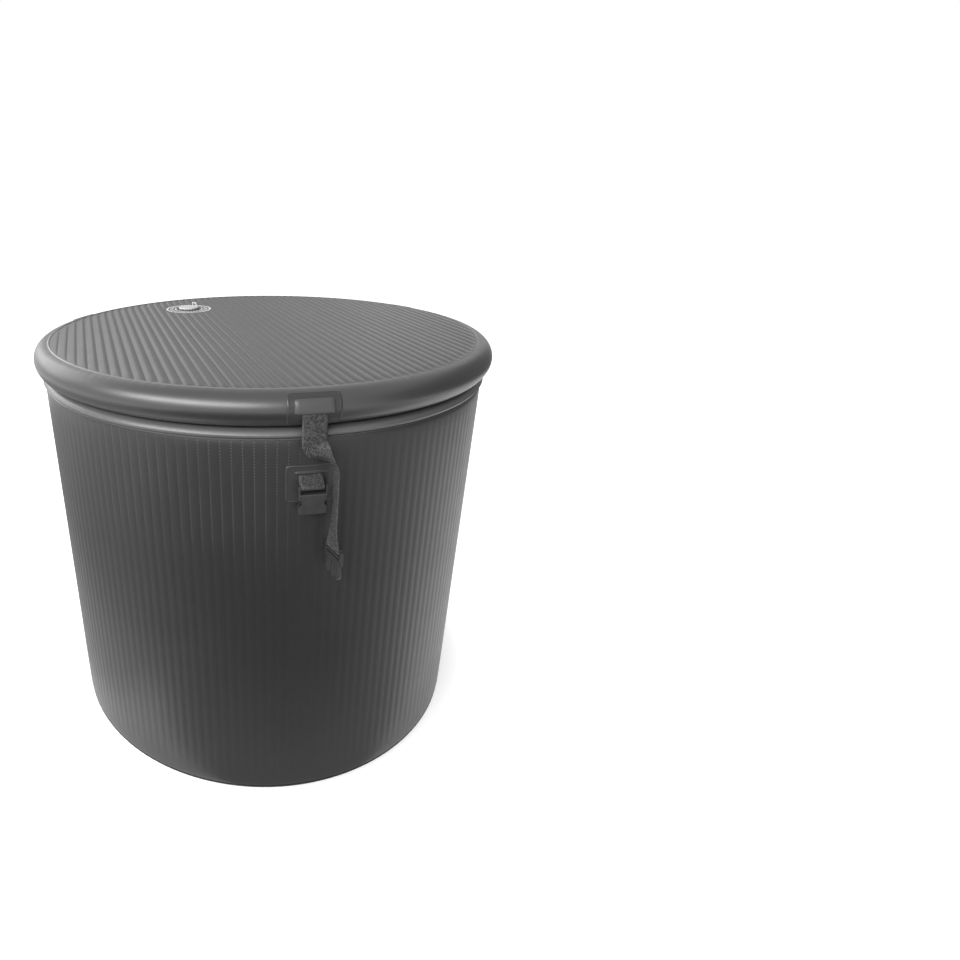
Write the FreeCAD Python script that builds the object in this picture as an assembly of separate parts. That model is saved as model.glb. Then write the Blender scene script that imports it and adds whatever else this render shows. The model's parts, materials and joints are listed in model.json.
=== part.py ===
"""Inflatable ice bath: a drop-stitch tub with a floor pad, a loose inflated lid held by three straps with
side-release buckles, an air valve in the lid and one in the wall, and a drain.

Millimetres, +Z up. The origin is the middle of the tub's underside, and the first strap is at the front, -Y.
An azimuth is counted from the front, anticlockwise seen from above.
"""

import FreeCAD, Part
import math
import os

Vector = FreeCAD.Vector
Rotation = FreeCAD.Rotation
Placement = FreeCAD.Placement
ORIGIN = Vector(0, 0, 0)
X_AXIS = Vector(1, 0, 0)
Y_AXIS = Vector(0, 1, 0)
Z_AXIS = Vector(0, 0, 1)

# Clearances
BODY_GAP = 0.3          # between pieces that move apart
SEAT_GAP = 0.2          # between pieces of one body whose curved faces lie on each other
THREAD_GAP = 0.3        # from the ends of the drop-stitch threads to the skins

# Tub
TUB_DIAMETER = 800.0
TUB_HEIGHT = 700.0
WALL_THICKNESS = 50.0
SKIN = 1.2              # coated sheet
STRIP_EDGE = 24.0       # degrees above the middle of the half-round edge where a rim strip ends
SKIN_TUCK = 40.0        # degrees that a wall skin runs in under the strips
WALL_RIBS = 160
RIBS_PER_ROW = 4        # ribs from one modelled row of threads to the next
THREAD = 0.6
SEAM_TAPE = 0.8
SEAM_TAPE_WIDTH = 60.0
SEAM_TAPE_END = 4.0     # from the tape's ends to the start of the half-round edges
SEAM_AZIMUTH = 207.0

# Floor
BASE_SHEET = 1.5
BASE_LAP = 11.0         # base sheet beyond the middle of the bottom roll
FLOOR_RING = 1.5
FLOOR_RING_WIDTH = 27.0
FLOOR_RING_TOE = 18.0   # flat leg of the ring on the base sheet
RING_LOW = 205.0        # degrees on the bottom roll between which the ring is welded to it
RING_HIGH = 195.0
PAD_GAP = 1.0           # between the floor ring and the pad's edge
PAD_THICKNESS = 18.0
PAD_CROWN = 6.0
PAD_SHEET = 1.0

# Lid
LID_OVERHANG = 12.5     # lid beyond the tub all round
LID_THICKNESS = 50.0
LID_LAP = 3.5           # flat lap of the edge strip on each face
LID_SKIN_LAP = 3.5      # step of a lid skin that runs in under the strip
LID_RIB_PITCH = 15.25
LID_RIB_DIRECTION = 95.9

# Straps
STRAP_COUNT = 3
STRAP_WIDTH = 35.0
STRAP = 1.5
STRAP_LENGTH = 199.0
STRAP_FLAT = 38.0       # length that hangs flat against the lid's edge
STRAP_TWIST = 38.0      # length in which it turns edge-on
STRAP_UNTWIST = 40.0    # last length, in which it turns back a little
STRAP_SIDE = 28.5       # sideways shift of the part that hangs edge-on
STRAP_WALL_GAP = 7.0    # from the wall to the edge-on strap
STRAP_STATIONS = 22
EDGE_ON = 90.0
CLIP_TURN = 75.0        # degrees that the clip is turned from facing outwards
STRAP_PATCH = 1.2
STRAP_PATCH_WIDTH = 75.0
STRAP_PATCH_LOW = -50.0     # degrees on the lid's half-round edge
STRAP_PATCH_HIGH = 64.0
POCKET = 2.6
POCKET_WIDTH = 55.0
POCKET_LOW = -7.0
POCKET_HIGH = 41.0
STRAP_TOP_GAP = 0.4

# Buckles
BAR_RADIUS = 2.0
BAR_SIDE_GAP = 0.7      # from the webbing's edge to the arms that hold the bar
LOOP_GAP = 0.4          # from the bar to the webbing round it
SLOT_GAP = 1.1          # beyond the webbing loop in the clip's slot
CLIP_ARM = 2.8
CLIP_THICKNESS = 5.5
CLIP_PLATE = 15.0
CLIP_LADDER_SLOT = 4.0
CLIP_LADDER_BAR = 3.0
PRONG_LENGTH = 25.0
PRONG_WIDTH = 4.5
PRONG_HOOK = 1.5        # how far a prong's catch stands out
PRONG_TAPER = 1.5       # how far its outer side slopes in at the tip
CATCH_START = 0.4       # shares of a prong's length: start of the catch, its full height, its end
CATCH_FULL = 0.6
CATCH_END = 0.75
TONGUE_WIDTH = 6.0
TONGUE_THICKNESS = 4.0
SOCKET_ARM = 2.4
SOCKET_ARM_DEPTH = 0.8  # share of the socket's thickness
SOCKET_WALL = 2.0
SOCKET_SLOT_GAP = 4.5   # beyond the webbing loop in the socket's longer slot
SOCKET_LENGTH = 31.0
SOCKET_SPARE = 3.0      # room in the socket past the tips of the prongs
SOCKET_WINDOW = 5.0
SOCKET_WINDOW_DROP = 13.0
MOUTH_GAP = 0.5         # round the clip in the socket's mouth
EDGE_ROUND = 1.4
SOCKET_STANDOFF = 13.0  # from the wall to the socket's bar
SOCKET_BAR_DROP = 84.0  # from the top of the tub
ANCHOR_PATCH = 1.5
ANCHOR_PATCH_WIDTH = 72.0
ANCHOR_PATCH_BELOW = 28.5   # patch below and above the socket's bar
ANCHOR_PATCH_ABOVE = 29.0
ANCHOR_SLIT_RISE = 14.0     # slit above the socket's bar
ANCHOR_SLIT_GAP = 1.0

# Air valves
VALVE_BARREL = 17.0
VALVE_BORE = 12.5
VALVE_FLANGE = 26.5
VALVE_FLANGE_THICKNESS = 1.4
VALVE_GASKET = 0.8
VALVE_GASKET_RADIUS = 25.0
VALVE_NECK = 3.0
VALVE_DEPTH = 24.0
VALVE_WEB = 3.0
VALVE_HOLE_GAP = 0.6
VALVE_AIR_HOLE = 2.6
VALVE_AIR_HOLES = 4
VALVE_NUT = 25.0
VALVE_NUT_THICKNESS = 5.0
VALVE_NUT_NOTCH = 5.0
VALVE_NUT_NOTCHES = 6
VALVE_NUT_DROP = 2.2    # from the skin's face to the nut, which is flat behind a curved skin
CAP_RADIUS = 21.0
CAP_ROOF = 1.8
CAP_CHAMFER = 0.8
CAP_HEAD_ROOM = 0.5     # from the neck to the cap's roof
CAP_SKIRT_GAP = 0.6
CAP_PLUG = 2.2
CAP_PLUG_DEPTH = 5.0     # plug below the cap's roof, inside the bore
CAP_LOOP_REACH = 5.5    # from the loop's middle to each of its posts
CAP_LOOP_RISE = 6.0     # from the cap to the loop's bar
CAP_LOOP_INSET = 2.9    # from the cap's edge
CAP_LOOP_WIRE = 1.1
STEM = 2.5
STEM_GAP = 0.3
PLUNGER_HEAD = 10.5
PLUNGER_HEAD_THICKNESS = 2.2
BUTTON = 5.2
BUTTON_THICKNESS = 2.5
BUTTON_TOP = 2.5
SPRING_RADIUS = 4.3
SPRING_WIRE = 0.5
SPRING_TURNS = 5
LID_VALVE_INSET = 147.5     # from the lid's edge to the valve's middle
LID_VALVE_AZIMUTH = 208.3
LID_LOOP_TURN = 40.0
WALL_VALVE_AZIMUTH = 180.0
WALL_VALVE_DROP = 140.0     # from the top of the tub
WALL_LOOP_TURN = 90.0

# Drain
DRAIN_AZIMUTH = 180.0
DRAIN_HEIGHT = 75.0
DRAIN_BORE = 12.0
DRAIN_TUBE = 15.0
DRAIN_FLANGE = 24.0
DRAIN_FLANGE_THICKNESS = 3.5
DRAIN_GASKET = 0.6
DRAIN_GASKET_RADIUS = 22.0
DRAIN_CLAMP = 25.0
DRAIN_CLAMP_THICKNESS = 5.0
DRAIN_NECK = 24.0
DRAIN_HOLE_GAP = 0.3
DRAIN_CAP = 19.5
DRAIN_CAP_ROOF = 2.6
DRAIN_CAP_GRIPS = 12
DRAIN_CAP_GRIP = 1.2

# Places worked out from the sizes above
tub_radius = TUB_DIAMETER / 2
wall_roll = WALL_THICKNESS / 2
wall_middle = tub_radius - wall_roll
outer_face = tub_radius - SKIN
inner_face = tub_radius - WALL_THICKNESS + SKIN
outer_air = outer_face - SKIN
inner_air = inner_face + SKIN
bottom_roll = (wall_middle, BASE_SHEET + wall_roll)
top_roll = (wall_middle, TUB_HEIGHT - wall_roll)
lid_roll = LID_THICKNESS / 2
lid_radius = tub_radius + LID_OVERHANG
lid_middle = lid_radius - lid_roll
lid_height = TUB_HEIGHT + BODY_GAP + lid_roll
lid_edge = (lid_middle, lid_height)
lid_top = lid_height + lid_roll
strap_azimuths = [360.0 * k / STRAP_COUNT for k in range(STRAP_COUNT)]
pocket_face = lid_roll + STRAP_PATCH + POCKET
pocket_middle = lid_roll + STRAP_PATCH + POCKET / 2
pocket_end = math.radians(POCKET_LOW)
strap_radius = lid_middle + pocket_middle * math.cos(pocket_end)
strap_top = lid_height + pocket_face * math.sin(pocket_end) - STRAP_TOP_GAP
strap_edge_radius = tub_radius + STRAP_WALL_GAP + STRAP_WIDTH / 2
loop_radius = BAR_RADIUS + LOOP_GAP + STRAP
bar_half = STRAP_WIDTH / 2 + BAR_SIDE_GAP
clip_half = bar_half + CLIP_ARM
socket_half = bar_half + SOCKET_ARM
mouth_half = socket_half - SOCKET_WALL
mouth_depth = CLIP_THICKNESS + 2 * MOUTH_GAP
socket_thickness = mouth_depth + 2 * SOCKET_WALL
slot_end = loop_radius + SLOT_GAP
socket_slot_end = loop_radius + SOCKET_SLOT_GAP
socket_bar = Vector(0, -(tub_radius + SOCKET_STANDOFF), TUB_HEIGHT - SOCKET_BAR_DROP)


def on_circle(centre, radius, degrees):
    """Point of a circle in a radius-and-height section."""
    angle = math.radians(degrees)
    return (centre[0] + radius * math.cos(angle), centre[1] + radius * math.sin(angle))


def arc(centre, radius, start, end):
    """Arc step of an outline: the point half way, and the end."""
    return (on_circle(centre, radius, (start + end) / 2), on_circle(centre, radius, end))


def section(*steps):
    """Closed face in radius and height. A step is a point, or an arc's middle and end."""
    first = Vector(steps[0][0], 0, steps[0][1])
    here = first
    edges = []
    for step in list(steps[1:]) + [steps[0]]:
        if isinstance(step[0], tuple):
            through = Vector(step[0][0], 0, step[0][1])
            there = Vector(step[1][0], 0, step[1][1])
            edges.append(Part.Arc(here, through, there).toShape())
        else:
            there = Vector(step[0], 0, step[1])
            if there.distanceToPoint(here) > 1e-7:
                edges.append(Part.makeLine(here, there))
        here = there
    return Part.Face(Part.Wire(edges))


def turned(face):
    """Ring made by a section turned all the way round the tub's axis."""
    return face.revolve(ORIGIN, Z_AXIS, 360)


def turned_patch(face, width, radius, azimuth):
    """Piece of a ring, as wide as given at a radius, with its middle at an azimuth."""
    angle = math.degrees(width / radius)
    start = face.copy()
    start.rotate(ORIGIN, Z_AXIS, azimuth - 90 - angle / 2)
    return start.revolve(ORIGIN, Z_AXIS, angle)


def at_azimuth(shape, azimuth):
    """Copy of a shape made at the front, carried round to an azimuth."""
    copy = shape.copy()
    copy.rotate(ORIGIN, Z_AXIS, azimuth)
    return copy


def placed(shape, placement):
    """Copy of a shape moved from its own frame."""
    copy = shape.copy()
    copy.Placement = placement.multiply(copy.Placement)
    return copy


def wall_place(azimuth, height, face, turn=0):
    """Frame whose Z axis points out of the wall, with its zero on a face of given radius."""
    outwards = Placement(Vector(0, -face, height), Rotation(X_AXIS, 90))
    round_wall = Placement(ORIGIN, Rotation(Z_AXIS, azimuth))
    return round_wall.multiply(outwards).multiply(Placement(ORIGIN, Rotation(Z_AXIS, turn)))


def rod(radius, low, high):
    """Cylinder along Z between two heights."""
    return Part.makeCylinder(radius, high - low, Vector(0, 0, low))


def tube(outer, inner, low, high):
    """Round tube along Z between two heights."""
    return rod(outer, low, high).cut(rod(inner, low, high))


def block(x_low, x_high, y_low, y_high, z_low, z_high):
    """Box between two corners."""
    return Part.makeBox(x_high - x_low, y_high - y_low, z_high - z_low, Vector(x_low, y_low, z_low))


def cross_rod(radius, half):
    """Cylinder along X through the origin."""
    return Part.makeCylinder(radius, 2 * half, Vector(-half, 0, 0), X_AXIS)


def smooth(value):
    """Ease from 0 to 1, level at both ends."""
    held = min(max(value, 0.0), 1.0)
    return held * held * (3 - 2 * held)


def wall_skin(side):
    """Skin of the wall, with both ends tucked round the half-round edges: side 1 is outside, -1 inside."""
    face = wall_roll - SKIN
    back = face - SKIN
    level = 0 if side > 0 else 180
    tuck = SKIN_TUCK * side
    return turned(section(
        on_circle(bottom_roll, face, level - tuck),
        arc(bottom_roll, face, level - tuck, level),
        on_circle(top_roll, face, level),
        arc(top_roll, face, level, level + tuck),
        on_circle(top_roll, back, level + tuck),
        arc(top_roll, back, level + tuck, level),
        on_circle(bottom_roll, back, level),
        arc(bottom_roll, back, level, level - tuck),
    ))


def rim_strip(roll, start, end):
    """Half-round strip over an edge of the wall, lapped on both skins."""
    back = wall_roll - SKIN
    return turned(section(
        on_circle(roll, wall_roll, start),
        arc(roll, wall_roll, start, end),
        on_circle(roll, back, end),
        arc(roll, back, end, start),
    ))


def wall_threads(fittings):
    """Rows of threads that tie the two wall skins, with none where a fitting goes through."""
    rows = WALL_RIBS // RIBS_PER_ROW
    step = 360.0 / rows
    row = block(-THREAD / 2, THREAD / 2, -(outer_air - THREAD_GAP), -(inner_air + THREAD_GAP),
                bottom_roll[1], top_roll[1])
    kept = []
    for k in range(rows):
        azimuth = (k + 0.5) * step
        clear = all(abs((azimuth - place + 180) % 360 - 180) > math.degrees(reach / inner_air)
                    for place, reach in fittings)
        if clear:
            kept.append(at_azimuth(row, azimuth))
    return Part.makeCompound(kept)


def seam_tape(low_radius, high_radius):
    """Upright tape over the joint of the wall sheet."""
    low = bottom_roll[1] + SEAM_TAPE_END
    high = top_roll[1] - SEAM_TAPE_END
    face = section((low_radius, low), (high_radius, low), (high_radius, high), (low_radius, high))
    return turned_patch(face, SEAM_TAPE_WIDTH, high_radius, SEAM_AZIMUTH)


def floor_ring():
    """Welded ring that closes the corner between the wall and the floor pad."""
    low = BASE_SHEET
    toe = inner_face - FLOOR_RING_WIDTH
    bend = toe + FLOOR_RING_TOE
    seat = wall_roll + SEAT_GAP
    face = seat + FLOOR_RING
    return turned(section(
        (toe, low),
        (bend + FLOOR_RING, low),
        on_circle(bottom_roll, seat, RING_LOW),
        on_circle(bottom_roll, seat, RING_HIGH),
        on_circle(bottom_roll, face, RING_HIGH),
        (bend, low + FLOOR_RING),
        (toe, low + FLOOR_RING),
    ))


def pad_form(radius, low, high, crown):
    """Round pad with a domed top and a side that swells between drawn-in edges."""
    shoulder = radius - (high - low) / 2
    dome = (shoulder ** 2 + crown ** 2) / (2 * crown)
    dome_centre = (0, high + crown - dome)
    dome_start = math.degrees(math.acos(shoulder / dome))
    return turned(section(
        (0, low),
        (shoulder, low),
        ((radius, (low + high) / 2), (shoulder, high)),
        arc(dome_centre, dome, dome_start, 90),
    ))


def lid_skin(side):
    """Flat skin of the lid with its edge stepped in under the strip: side 1 is on top, -1 below."""
    seam = lid_middle - LID_LAP
    face = lid_height + side * lid_roll
    step = face - side * SKIN
    under = face - 2 * side * SKIN
    return turned(section(
        (0, face),
        (seam, face),
        (seam, step),
        (seam + LID_SKIN_LAP, step),
        (seam + LID_SKIN_LAP, under),
        (seam - SKIN, under),
        (seam - SKIN, step),
        (0, step),
    ))


def lid_strip():
    """Half-round strip round the lid's edge, lapped flat on both faces."""
    back = lid_roll - SKIN
    seam = lid_middle - LID_LAP
    return turned(section(
        (seam, lid_height - lid_roll),
        (lid_middle, lid_height - lid_roll),
        arc(lid_edge, lid_roll, -90, 90),
        (seam, lid_height + lid_roll),
        (seam, lid_height + back),
        (lid_middle, lid_height + back),
        arc(lid_edge, back, 90, -90),
        (seam, lid_height - back),
    ))


def lid_threads(valve_place):
    """Rows of threads along the lid's ribs, set so that the valve lies between two of them."""
    step = LID_RIB_PITCH * RIBS_PER_ROW
    reach = lid_middle - LID_LAP - 2 * SKIN
    half = lid_roll - SKIN - THREAD_GAP
    direction = math.radians(LID_RIB_DIRECTION)
    across = valve_place.x * math.sin(direction) - valve_place.y * math.cos(direction)
    first = (across + step / 2) % step
    rows = []
    for k in range(-math.ceil(reach / step) - 1, math.ceil(reach / step) + 1):
        offset = first + k * step
        if abs(offset) < reach - LID_RIB_PITCH:
            length = math.sqrt(reach ** 2 - offset ** 2)
            row = block(-length, length, -offset - THREAD / 2, -offset + THREAD / 2,
                        lid_height - half, lid_height + half)
            row.rotate(ORIGIN, Z_AXIS, LID_RIB_DIRECTION)
            rows.append(row)
    return Part.makeCompound(rows)


def strap_patch(azimuth):
    """Patch welded round the lid's edge under a strap."""
    face = lid_roll + STRAP_PATCH
    back = lid_roll + SEAT_GAP
    band = section(
        on_circle(lid_edge, face, STRAP_PATCH_LOW),
        arc(lid_edge, face, STRAP_PATCH_LOW, STRAP_PATCH_HIGH),
        on_circle(lid_edge, back, STRAP_PATCH_HIGH),
        arc(lid_edge, back, STRAP_PATCH_HIGH, STRAP_PATCH_LOW),
    )
    return turned_patch(band, STRAP_PATCH_WIDTH, lid_radius, azimuth)


def strap_pocket(azimuth):
    """Raised pocket on the patch, which holds the end of the strap."""
    seat = lid_roll + STRAP_PATCH
    band = section(
        on_circle(lid_edge, pocket_face, POCKET_LOW),
        arc(lid_edge, pocket_face, POCKET_LOW, POCKET_HIGH),
        on_circle(lid_edge, seat, POCKET_HIGH),
        arc(lid_edge, seat, POCKET_HIGH, POCKET_LOW),
    )
    return turned_patch(band, POCKET_WIDTH, lid_radius, azimuth)


def strap_line(length):
    """Middle of the strap and the turn of its width, a length down from its top end, at the front."""
    ease = smooth((length - STRAP_FLAT) / STRAP_TWIST)
    back = smooth((length - STRAP_LENGTH + STRAP_UNTWIST) / STRAP_UNTWIST)
    radius = strap_radius + (strap_edge_radius - strap_radius) * ease
    turn = EDGE_ON * ease - (EDGE_ON - CLIP_TURN) * back
    return Vector(STRAP_SIDE * ease, -radius, strap_top - length), turn


def strap_section(length):
    """Rectangle of webbing across the strap."""
    middle, turn = strap_line(length)
    angle = math.radians(turn)
    wide = Vector(math.cos(angle), -math.sin(angle), 0) * (STRAP_WIDTH / 2)
    thick = Vector(math.sin(angle), math.cos(angle), 0) * (STRAP / 2)
    corners = [middle - wide - thick, middle + wide - thick, middle + wide + thick, middle - wide + thick]
    return Part.makePolygon(corners + corners[:1])


def clip_frame():
    """Frame of a clip: X along its bar, Z up, with the bar beside the end of the strap."""
    middle, turn = strap_line(STRAP_LENGTH)
    aside = Rotation(Z_AXIS, -turn)
    middle_of_loop = BAR_RADIUS + LOOP_GAP + STRAP / 2
    return Placement(middle + aside.multVec(Y_AXIS) * middle_of_loop, aside)


def strap():
    """Webbing that hangs flat, turns edge-on beside the buckle and ends in a loop round the clip's bar."""
    stations = [strap_section(STRAP_LENGTH * k / (STRAP_STATIONS - 1)) for k in range(STRAP_STATIONS)]
    band = Part.makeLoft(stations, True, True)
    loop = cross_rod(loop_radius, STRAP_WIDTH / 2).cut(cross_rod(BAR_RADIUS + LOOP_GAP, STRAP_WIDTH / 2))
    return band.fuse(placed(loop, clip_frame())).removeSplitter()


def buckle_arms(half, arm, thickness, length):
    """Bar of a buckle and the two arms that carry it, down to its plate."""
    shape = cross_rod(BAR_RADIUS, half)
    for side in (-1, 1):
        low = min(side * half, side * (half - arm))
        knuckle = Part.makeCylinder(thickness / 2, arm, Vector(low, 0, 0), X_AXIS)
        leg = block(low, low + arm, -thickness / 2, thickness / 2, -length, 0)
        shape = shape.fuse(knuckle).fuse(leg)
    return shape


def buckle_clip():
    """Clip half of a buckle: bar, ladder plate, tongue and two hooked prongs that point down."""
    half_thick = CLIP_THICKNESS / 2
    plate_low = -slot_end - CLIP_PLATE
    ladder_top = -slot_end - CLIP_LADDER_BAR
    shape = buckle_arms(clip_half, CLIP_ARM, CLIP_THICKNESS, slot_end + CLIP_PLATE / 2)
    plate = block(-clip_half, clip_half, -half_thick, half_thick, plate_low, -slot_end)
    ladder = block(-bar_half, bar_half, -half_thick, half_thick, ladder_top - CLIP_LADDER_SLOT, ladder_top)
    shape = shape.fuse(plate.cut(ladder))
    shape = shape.fuse(block(-TONGUE_WIDTH / 2, TONGUE_WIDTH / 2, -TONGUE_THICKNESS / 2, TONGUE_THICKNESS / 2,
                             plate_low - PRONG_LENGTH, plate_low))
    reach = mouth_half - MOUTH_GAP
    root = reach - PRONG_HOOK
    tip = plate_low - PRONG_LENGTH
    outline = [
        (root - PRONG_WIDTH, plate_low),
        (root, plate_low),
        (root, plate_low - PRONG_LENGTH * CATCH_START),
        (reach, plate_low - PRONG_LENGTH * CATCH_FULL),
        (reach, plate_low - PRONG_LENGTH * CATCH_END),
        (root - PRONG_TAPER, tip),
        (root - PRONG_WIDTH, tip),
    ]
    for side in (-1, 1):
        points = [Vector(side * x, -half_thick, z) for x, z in outline]
        prong = Part.Face(Part.makePolygon(points + points[:1])).extrude(Vector(0, CLIP_THICKNESS, 0))
        shape = shape.fuse(prong)
    return shape.removeSplitter()


def buckle_socket():
    """Socket half of a buckle: bar, body open at its lower end, and round bites in its sides."""
    half_thick = socket_thickness / 2
    low = -socket_slot_end - SOCKET_LENGTH
    body = block(-socket_half, socket_half, -half_thick, half_thick, low, -socket_slot_end)
    body = body.makeFillet(EDGE_ROUND, body.Edges)
    depth = PRONG_LENGTH + SOCKET_SPARE
    mouth = block(-mouth_half, mouth_half, -mouth_depth / 2, mouth_depth / 2, low, low + depth)
    arms_end = socket_slot_end + SOCKET_WALL
    shape = buckle_arms(socket_half, SOCKET_ARM, socket_thickness * SOCKET_ARM_DEPTH, arms_end)
    shape = shape.fuse(body).cut(mouth)
    for side in (-1, 1):
        centre = Vector(side * socket_half, -socket_thickness, -socket_slot_end - SOCKET_WINDOW_DROP)
        shape = shape.cut(Part.makeCylinder(SOCKET_WINDOW, 2 * socket_thickness, centre, Y_AXIS))
    return shape.removeSplitter()


def anchor_patch(azimuth):
    """Patch on the wall that anchors a buckle, with a slit for its webbing."""
    low = socket_bar.z - ANCHOR_PATCH_BELOW
    high = socket_bar.z + ANCHOR_PATCH_ABOVE
    top = outer_face + ANCHOR_PATCH
    face = section((outer_face, low), (top, low), (top, high), (outer_face, high))
    patch = turned_patch(face, ANCHOR_PATCH_WIDTH, outer_face, 0)
    slit = anchor_tail(STRAP_WIDTH + 2 * ANCHOR_SLIT_GAP, 2 * STRAP + 2 * ANCHOR_SLIT_GAP)
    return at_azimuth(patch.cut(slit), azimuth)


def anchor_tail(width, thickness):
    """Straight bar of webbing from behind the wall's face to the socket's bar, at the front."""
    start = Vector(0, -outer_face, socket_bar.z + ANCHOR_SLIT_RISE)
    run = socket_bar - start
    slope = math.degrees(math.atan2(-run.z, -run.y))
    behind = 2 * thickness
    tail = block(-width / 2, width / 2, -run.Length, behind, -thickness / 2, thickness / 2)
    return placed(tail, Placement(start, Rotation(X_AXIS, slope)))


def anchor_loop(azimuth):
    """Folded webbing from the wall patch round the socket's bar."""
    round_bar = Placement(socket_bar, Rotation())
    loop = anchor_tail(STRAP_WIDTH, 2 * STRAP)
    loop = loop.fuse(placed(cross_rod(loop_radius, STRAP_WIDTH / 2), round_bar))
    loop = loop.cut(placed(cross_rod(BAR_RADIUS + LOOP_GAP, STRAP_WIDTH), round_bar))
    loop = loop.cut(rod(outer_face + SEAT_GAP, 0, TUB_HEIGHT))
    return at_azimuth(loop.removeSplitter(), azimuth)


def spring_path(radius, low, high, turns):
    """Coil along Z from quarter turns, each of two arcs that meet with one tangent."""
    quarters = 4 * turns
    rise = (high - low) / quarters

    def point(k):
        angle = math.pi * k / 2
        return Vector(radius * math.cos(angle), radius * math.sin(angle), low + rise * k)

    def tangent(k):
        angle = math.pi * k / 2
        return Vector(-radius * math.sin(angle), radius * math.cos(angle), rise * 2 / math.pi).normalize()

    def bend(start, heading, end):
        chord = end - start
        along = chord * (heading.dot(chord) / chord.Length ** 2)
        aside = heading - along
        lean = math.atan2(aside.Length, along.Length)
        through = start + chord / 2 + aside.normalize() * (chord.Length / 2 * math.tan(lean / 2))
        return Part.Arc(start, through, end).toShape()

    edges = []
    for k in range(quarters):
        start, end = point(k), point(k + 1)
        leaving, arriving = tangent(k), tangent(k + 1)
        chord = end - start
        spread = 2 * (1 - leaving.dot(arriving))
        both = chord.dot(leaving + arriving)
        reach = (math.sqrt(both ** 2 + spread * chord.dot(chord)) - both) / spread
        meet = (start + end + (leaving - arriving) * reach) / 2
        edges.append(bend(start, leaving, meet))
        edges.append(bend(end, arriving * -1, meet))
    return Part.Wire(Part.__sortEdges__(edges))


def valve(name, place, skin_side):
    """Pieces of an air valve, made along Z with zero on the skin's face and carried to its place."""
    flange_low = VALVE_GASKET
    flange_high = flange_low + VALVE_FLANGE_THICKNESS
    web_low = -VALVE_DEPTH
    web_high = web_low + VALVE_WEB
    body = rod(VALVE_BARREL, web_low, VALVE_NECK).fuse(rod(VALVE_FLANGE, flange_low, flange_high))
    body = body.cut(rod(VALVE_BORE, web_high, VALVE_NECK)).cut(rod(STEM + STEM_GAP, web_low, web_high))
    for k in range(VALVE_AIR_HOLES):
        hole = rod(VALVE_AIR_HOLE, web_low, web_high)
        hole.translate(Vector((STEM + VALVE_BORE) / 2, 0, 0))
        hole.rotate(ORIGIN, Z_AXIS, 360.0 * (k + 0.5) / VALVE_AIR_HOLES)
        body = body.cut(hole)
    gasket = tube(VALVE_GASKET_RADIUS, VALVE_BARREL + SEAT_GAP, -2 * SKIN, flange_low)
    nut = tube(VALVE_NUT, VALVE_BARREL + SEAT_GAP, -VALVE_NUT_DROP - VALVE_NUT_THICKNESS, -VALVE_NUT_DROP)
    for k in range(VALVE_NUT_NOTCHES):
        notch = block(VALVE_NUT - VALVE_NUT_NOTCH / 2, VALVE_NUT + VALVE_NUT_NOTCH, -VALVE_NUT_NOTCH / 2,
                      VALVE_NUT_NOTCH / 2, -VALVE_NUT_DROP - VALVE_NUT_THICKNESS, -VALVE_NUT_DROP)
        notch.rotate(ORIGIN, Z_AXIS, 360.0 * k / VALVE_NUT_NOTCHES)
        nut = nut.cut(notch)
    roof = VALVE_NECK + CAP_HEAD_ROOM
    cap_top = roof + CAP_ROOF
    cap_low = flange_high + BODY_GAP
    crown = rod(CAP_RADIUS, cap_low, cap_top)
    crown = crown.makeChamfer(CAP_CHAMFER, [edge for edge in crown.Edges if edge.BoundBox.ZMin > roof])
    plug = VALVE_BORE - CAP_SKIRT_GAP
    cap = crown.cut(rod(VALVE_BARREL + CAP_SKIRT_GAP, cap_low, roof))
    cap = cap.fuse(tube(plug, plug - CAP_PLUG, roof - CAP_PLUG_DEPTH, roof + CAP_ROOF / 2))
    bar_end = Vector(CAP_RADIUS - CAP_LOOP_INSET, -CAP_LOOP_REACH, cap_top + CAP_LOOP_RISE)
    cap = cap.fuse(Part.makeCylinder(CAP_LOOP_WIRE, 2 * CAP_LOOP_REACH, bar_end, Y_AXIS))
    for side in (-1, 1):
        corner = Vector(bar_end.x, side * CAP_LOOP_REACH, bar_end.z)
        foot = Vector(bar_end.x, side * CAP_LOOP_REACH, roof + CAP_ROOF / 2)
        cap = cap.fuse(Part.makeCylinder(CAP_LOOP_WIRE, corner.z - foot.z, foot))
        cap = cap.fuse(Part.makeSphere(CAP_LOOP_WIRE, corner))
    cap = cap.removeSplitter()
    head_high = web_low - BODY_GAP
    button_low = BUTTON_TOP - BUTTON_THICKNESS
    plunger = rod(STEM, head_high - PLUNGER_HEAD_THICKNESS, BUTTON_TOP)
    plunger = plunger.fuse(rod(PLUNGER_HEAD, head_high - PLUNGER_HEAD_THICKNESS, head_high))
    plunger = plunger.fuse(rod(BUTTON, button_low, BUTTON_TOP))
    low = web_high + SPRING_WIRE + SEAT_GAP
    high = button_low - SPRING_WIRE - BODY_GAP
    path = spring_path(SPRING_RADIUS, low, high, SPRING_TURNS)
    wire = Part.Wire(Part.makeCircle(SPRING_WIRE, Vector(SPRING_RADIUS, 0, low), Y_AXIS))
    spring = path.makePipeShell([wire], True, False)
    print(name, "spring, least gap between turns:", round((high - low) / SPRING_TURNS - 2 * SPRING_WIRE, 2))
    return {
        name + "_body": placed(body, place),
        name + "_gasket": placed(gasket, place).cut(skin_side),
        name + "_nut": placed(nut, place),
        name + "_cap": placed(cap, place),
        name + "_plunger": placed(plunger, place),
        name + "_spring": placed(spring, place),
    }


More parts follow.
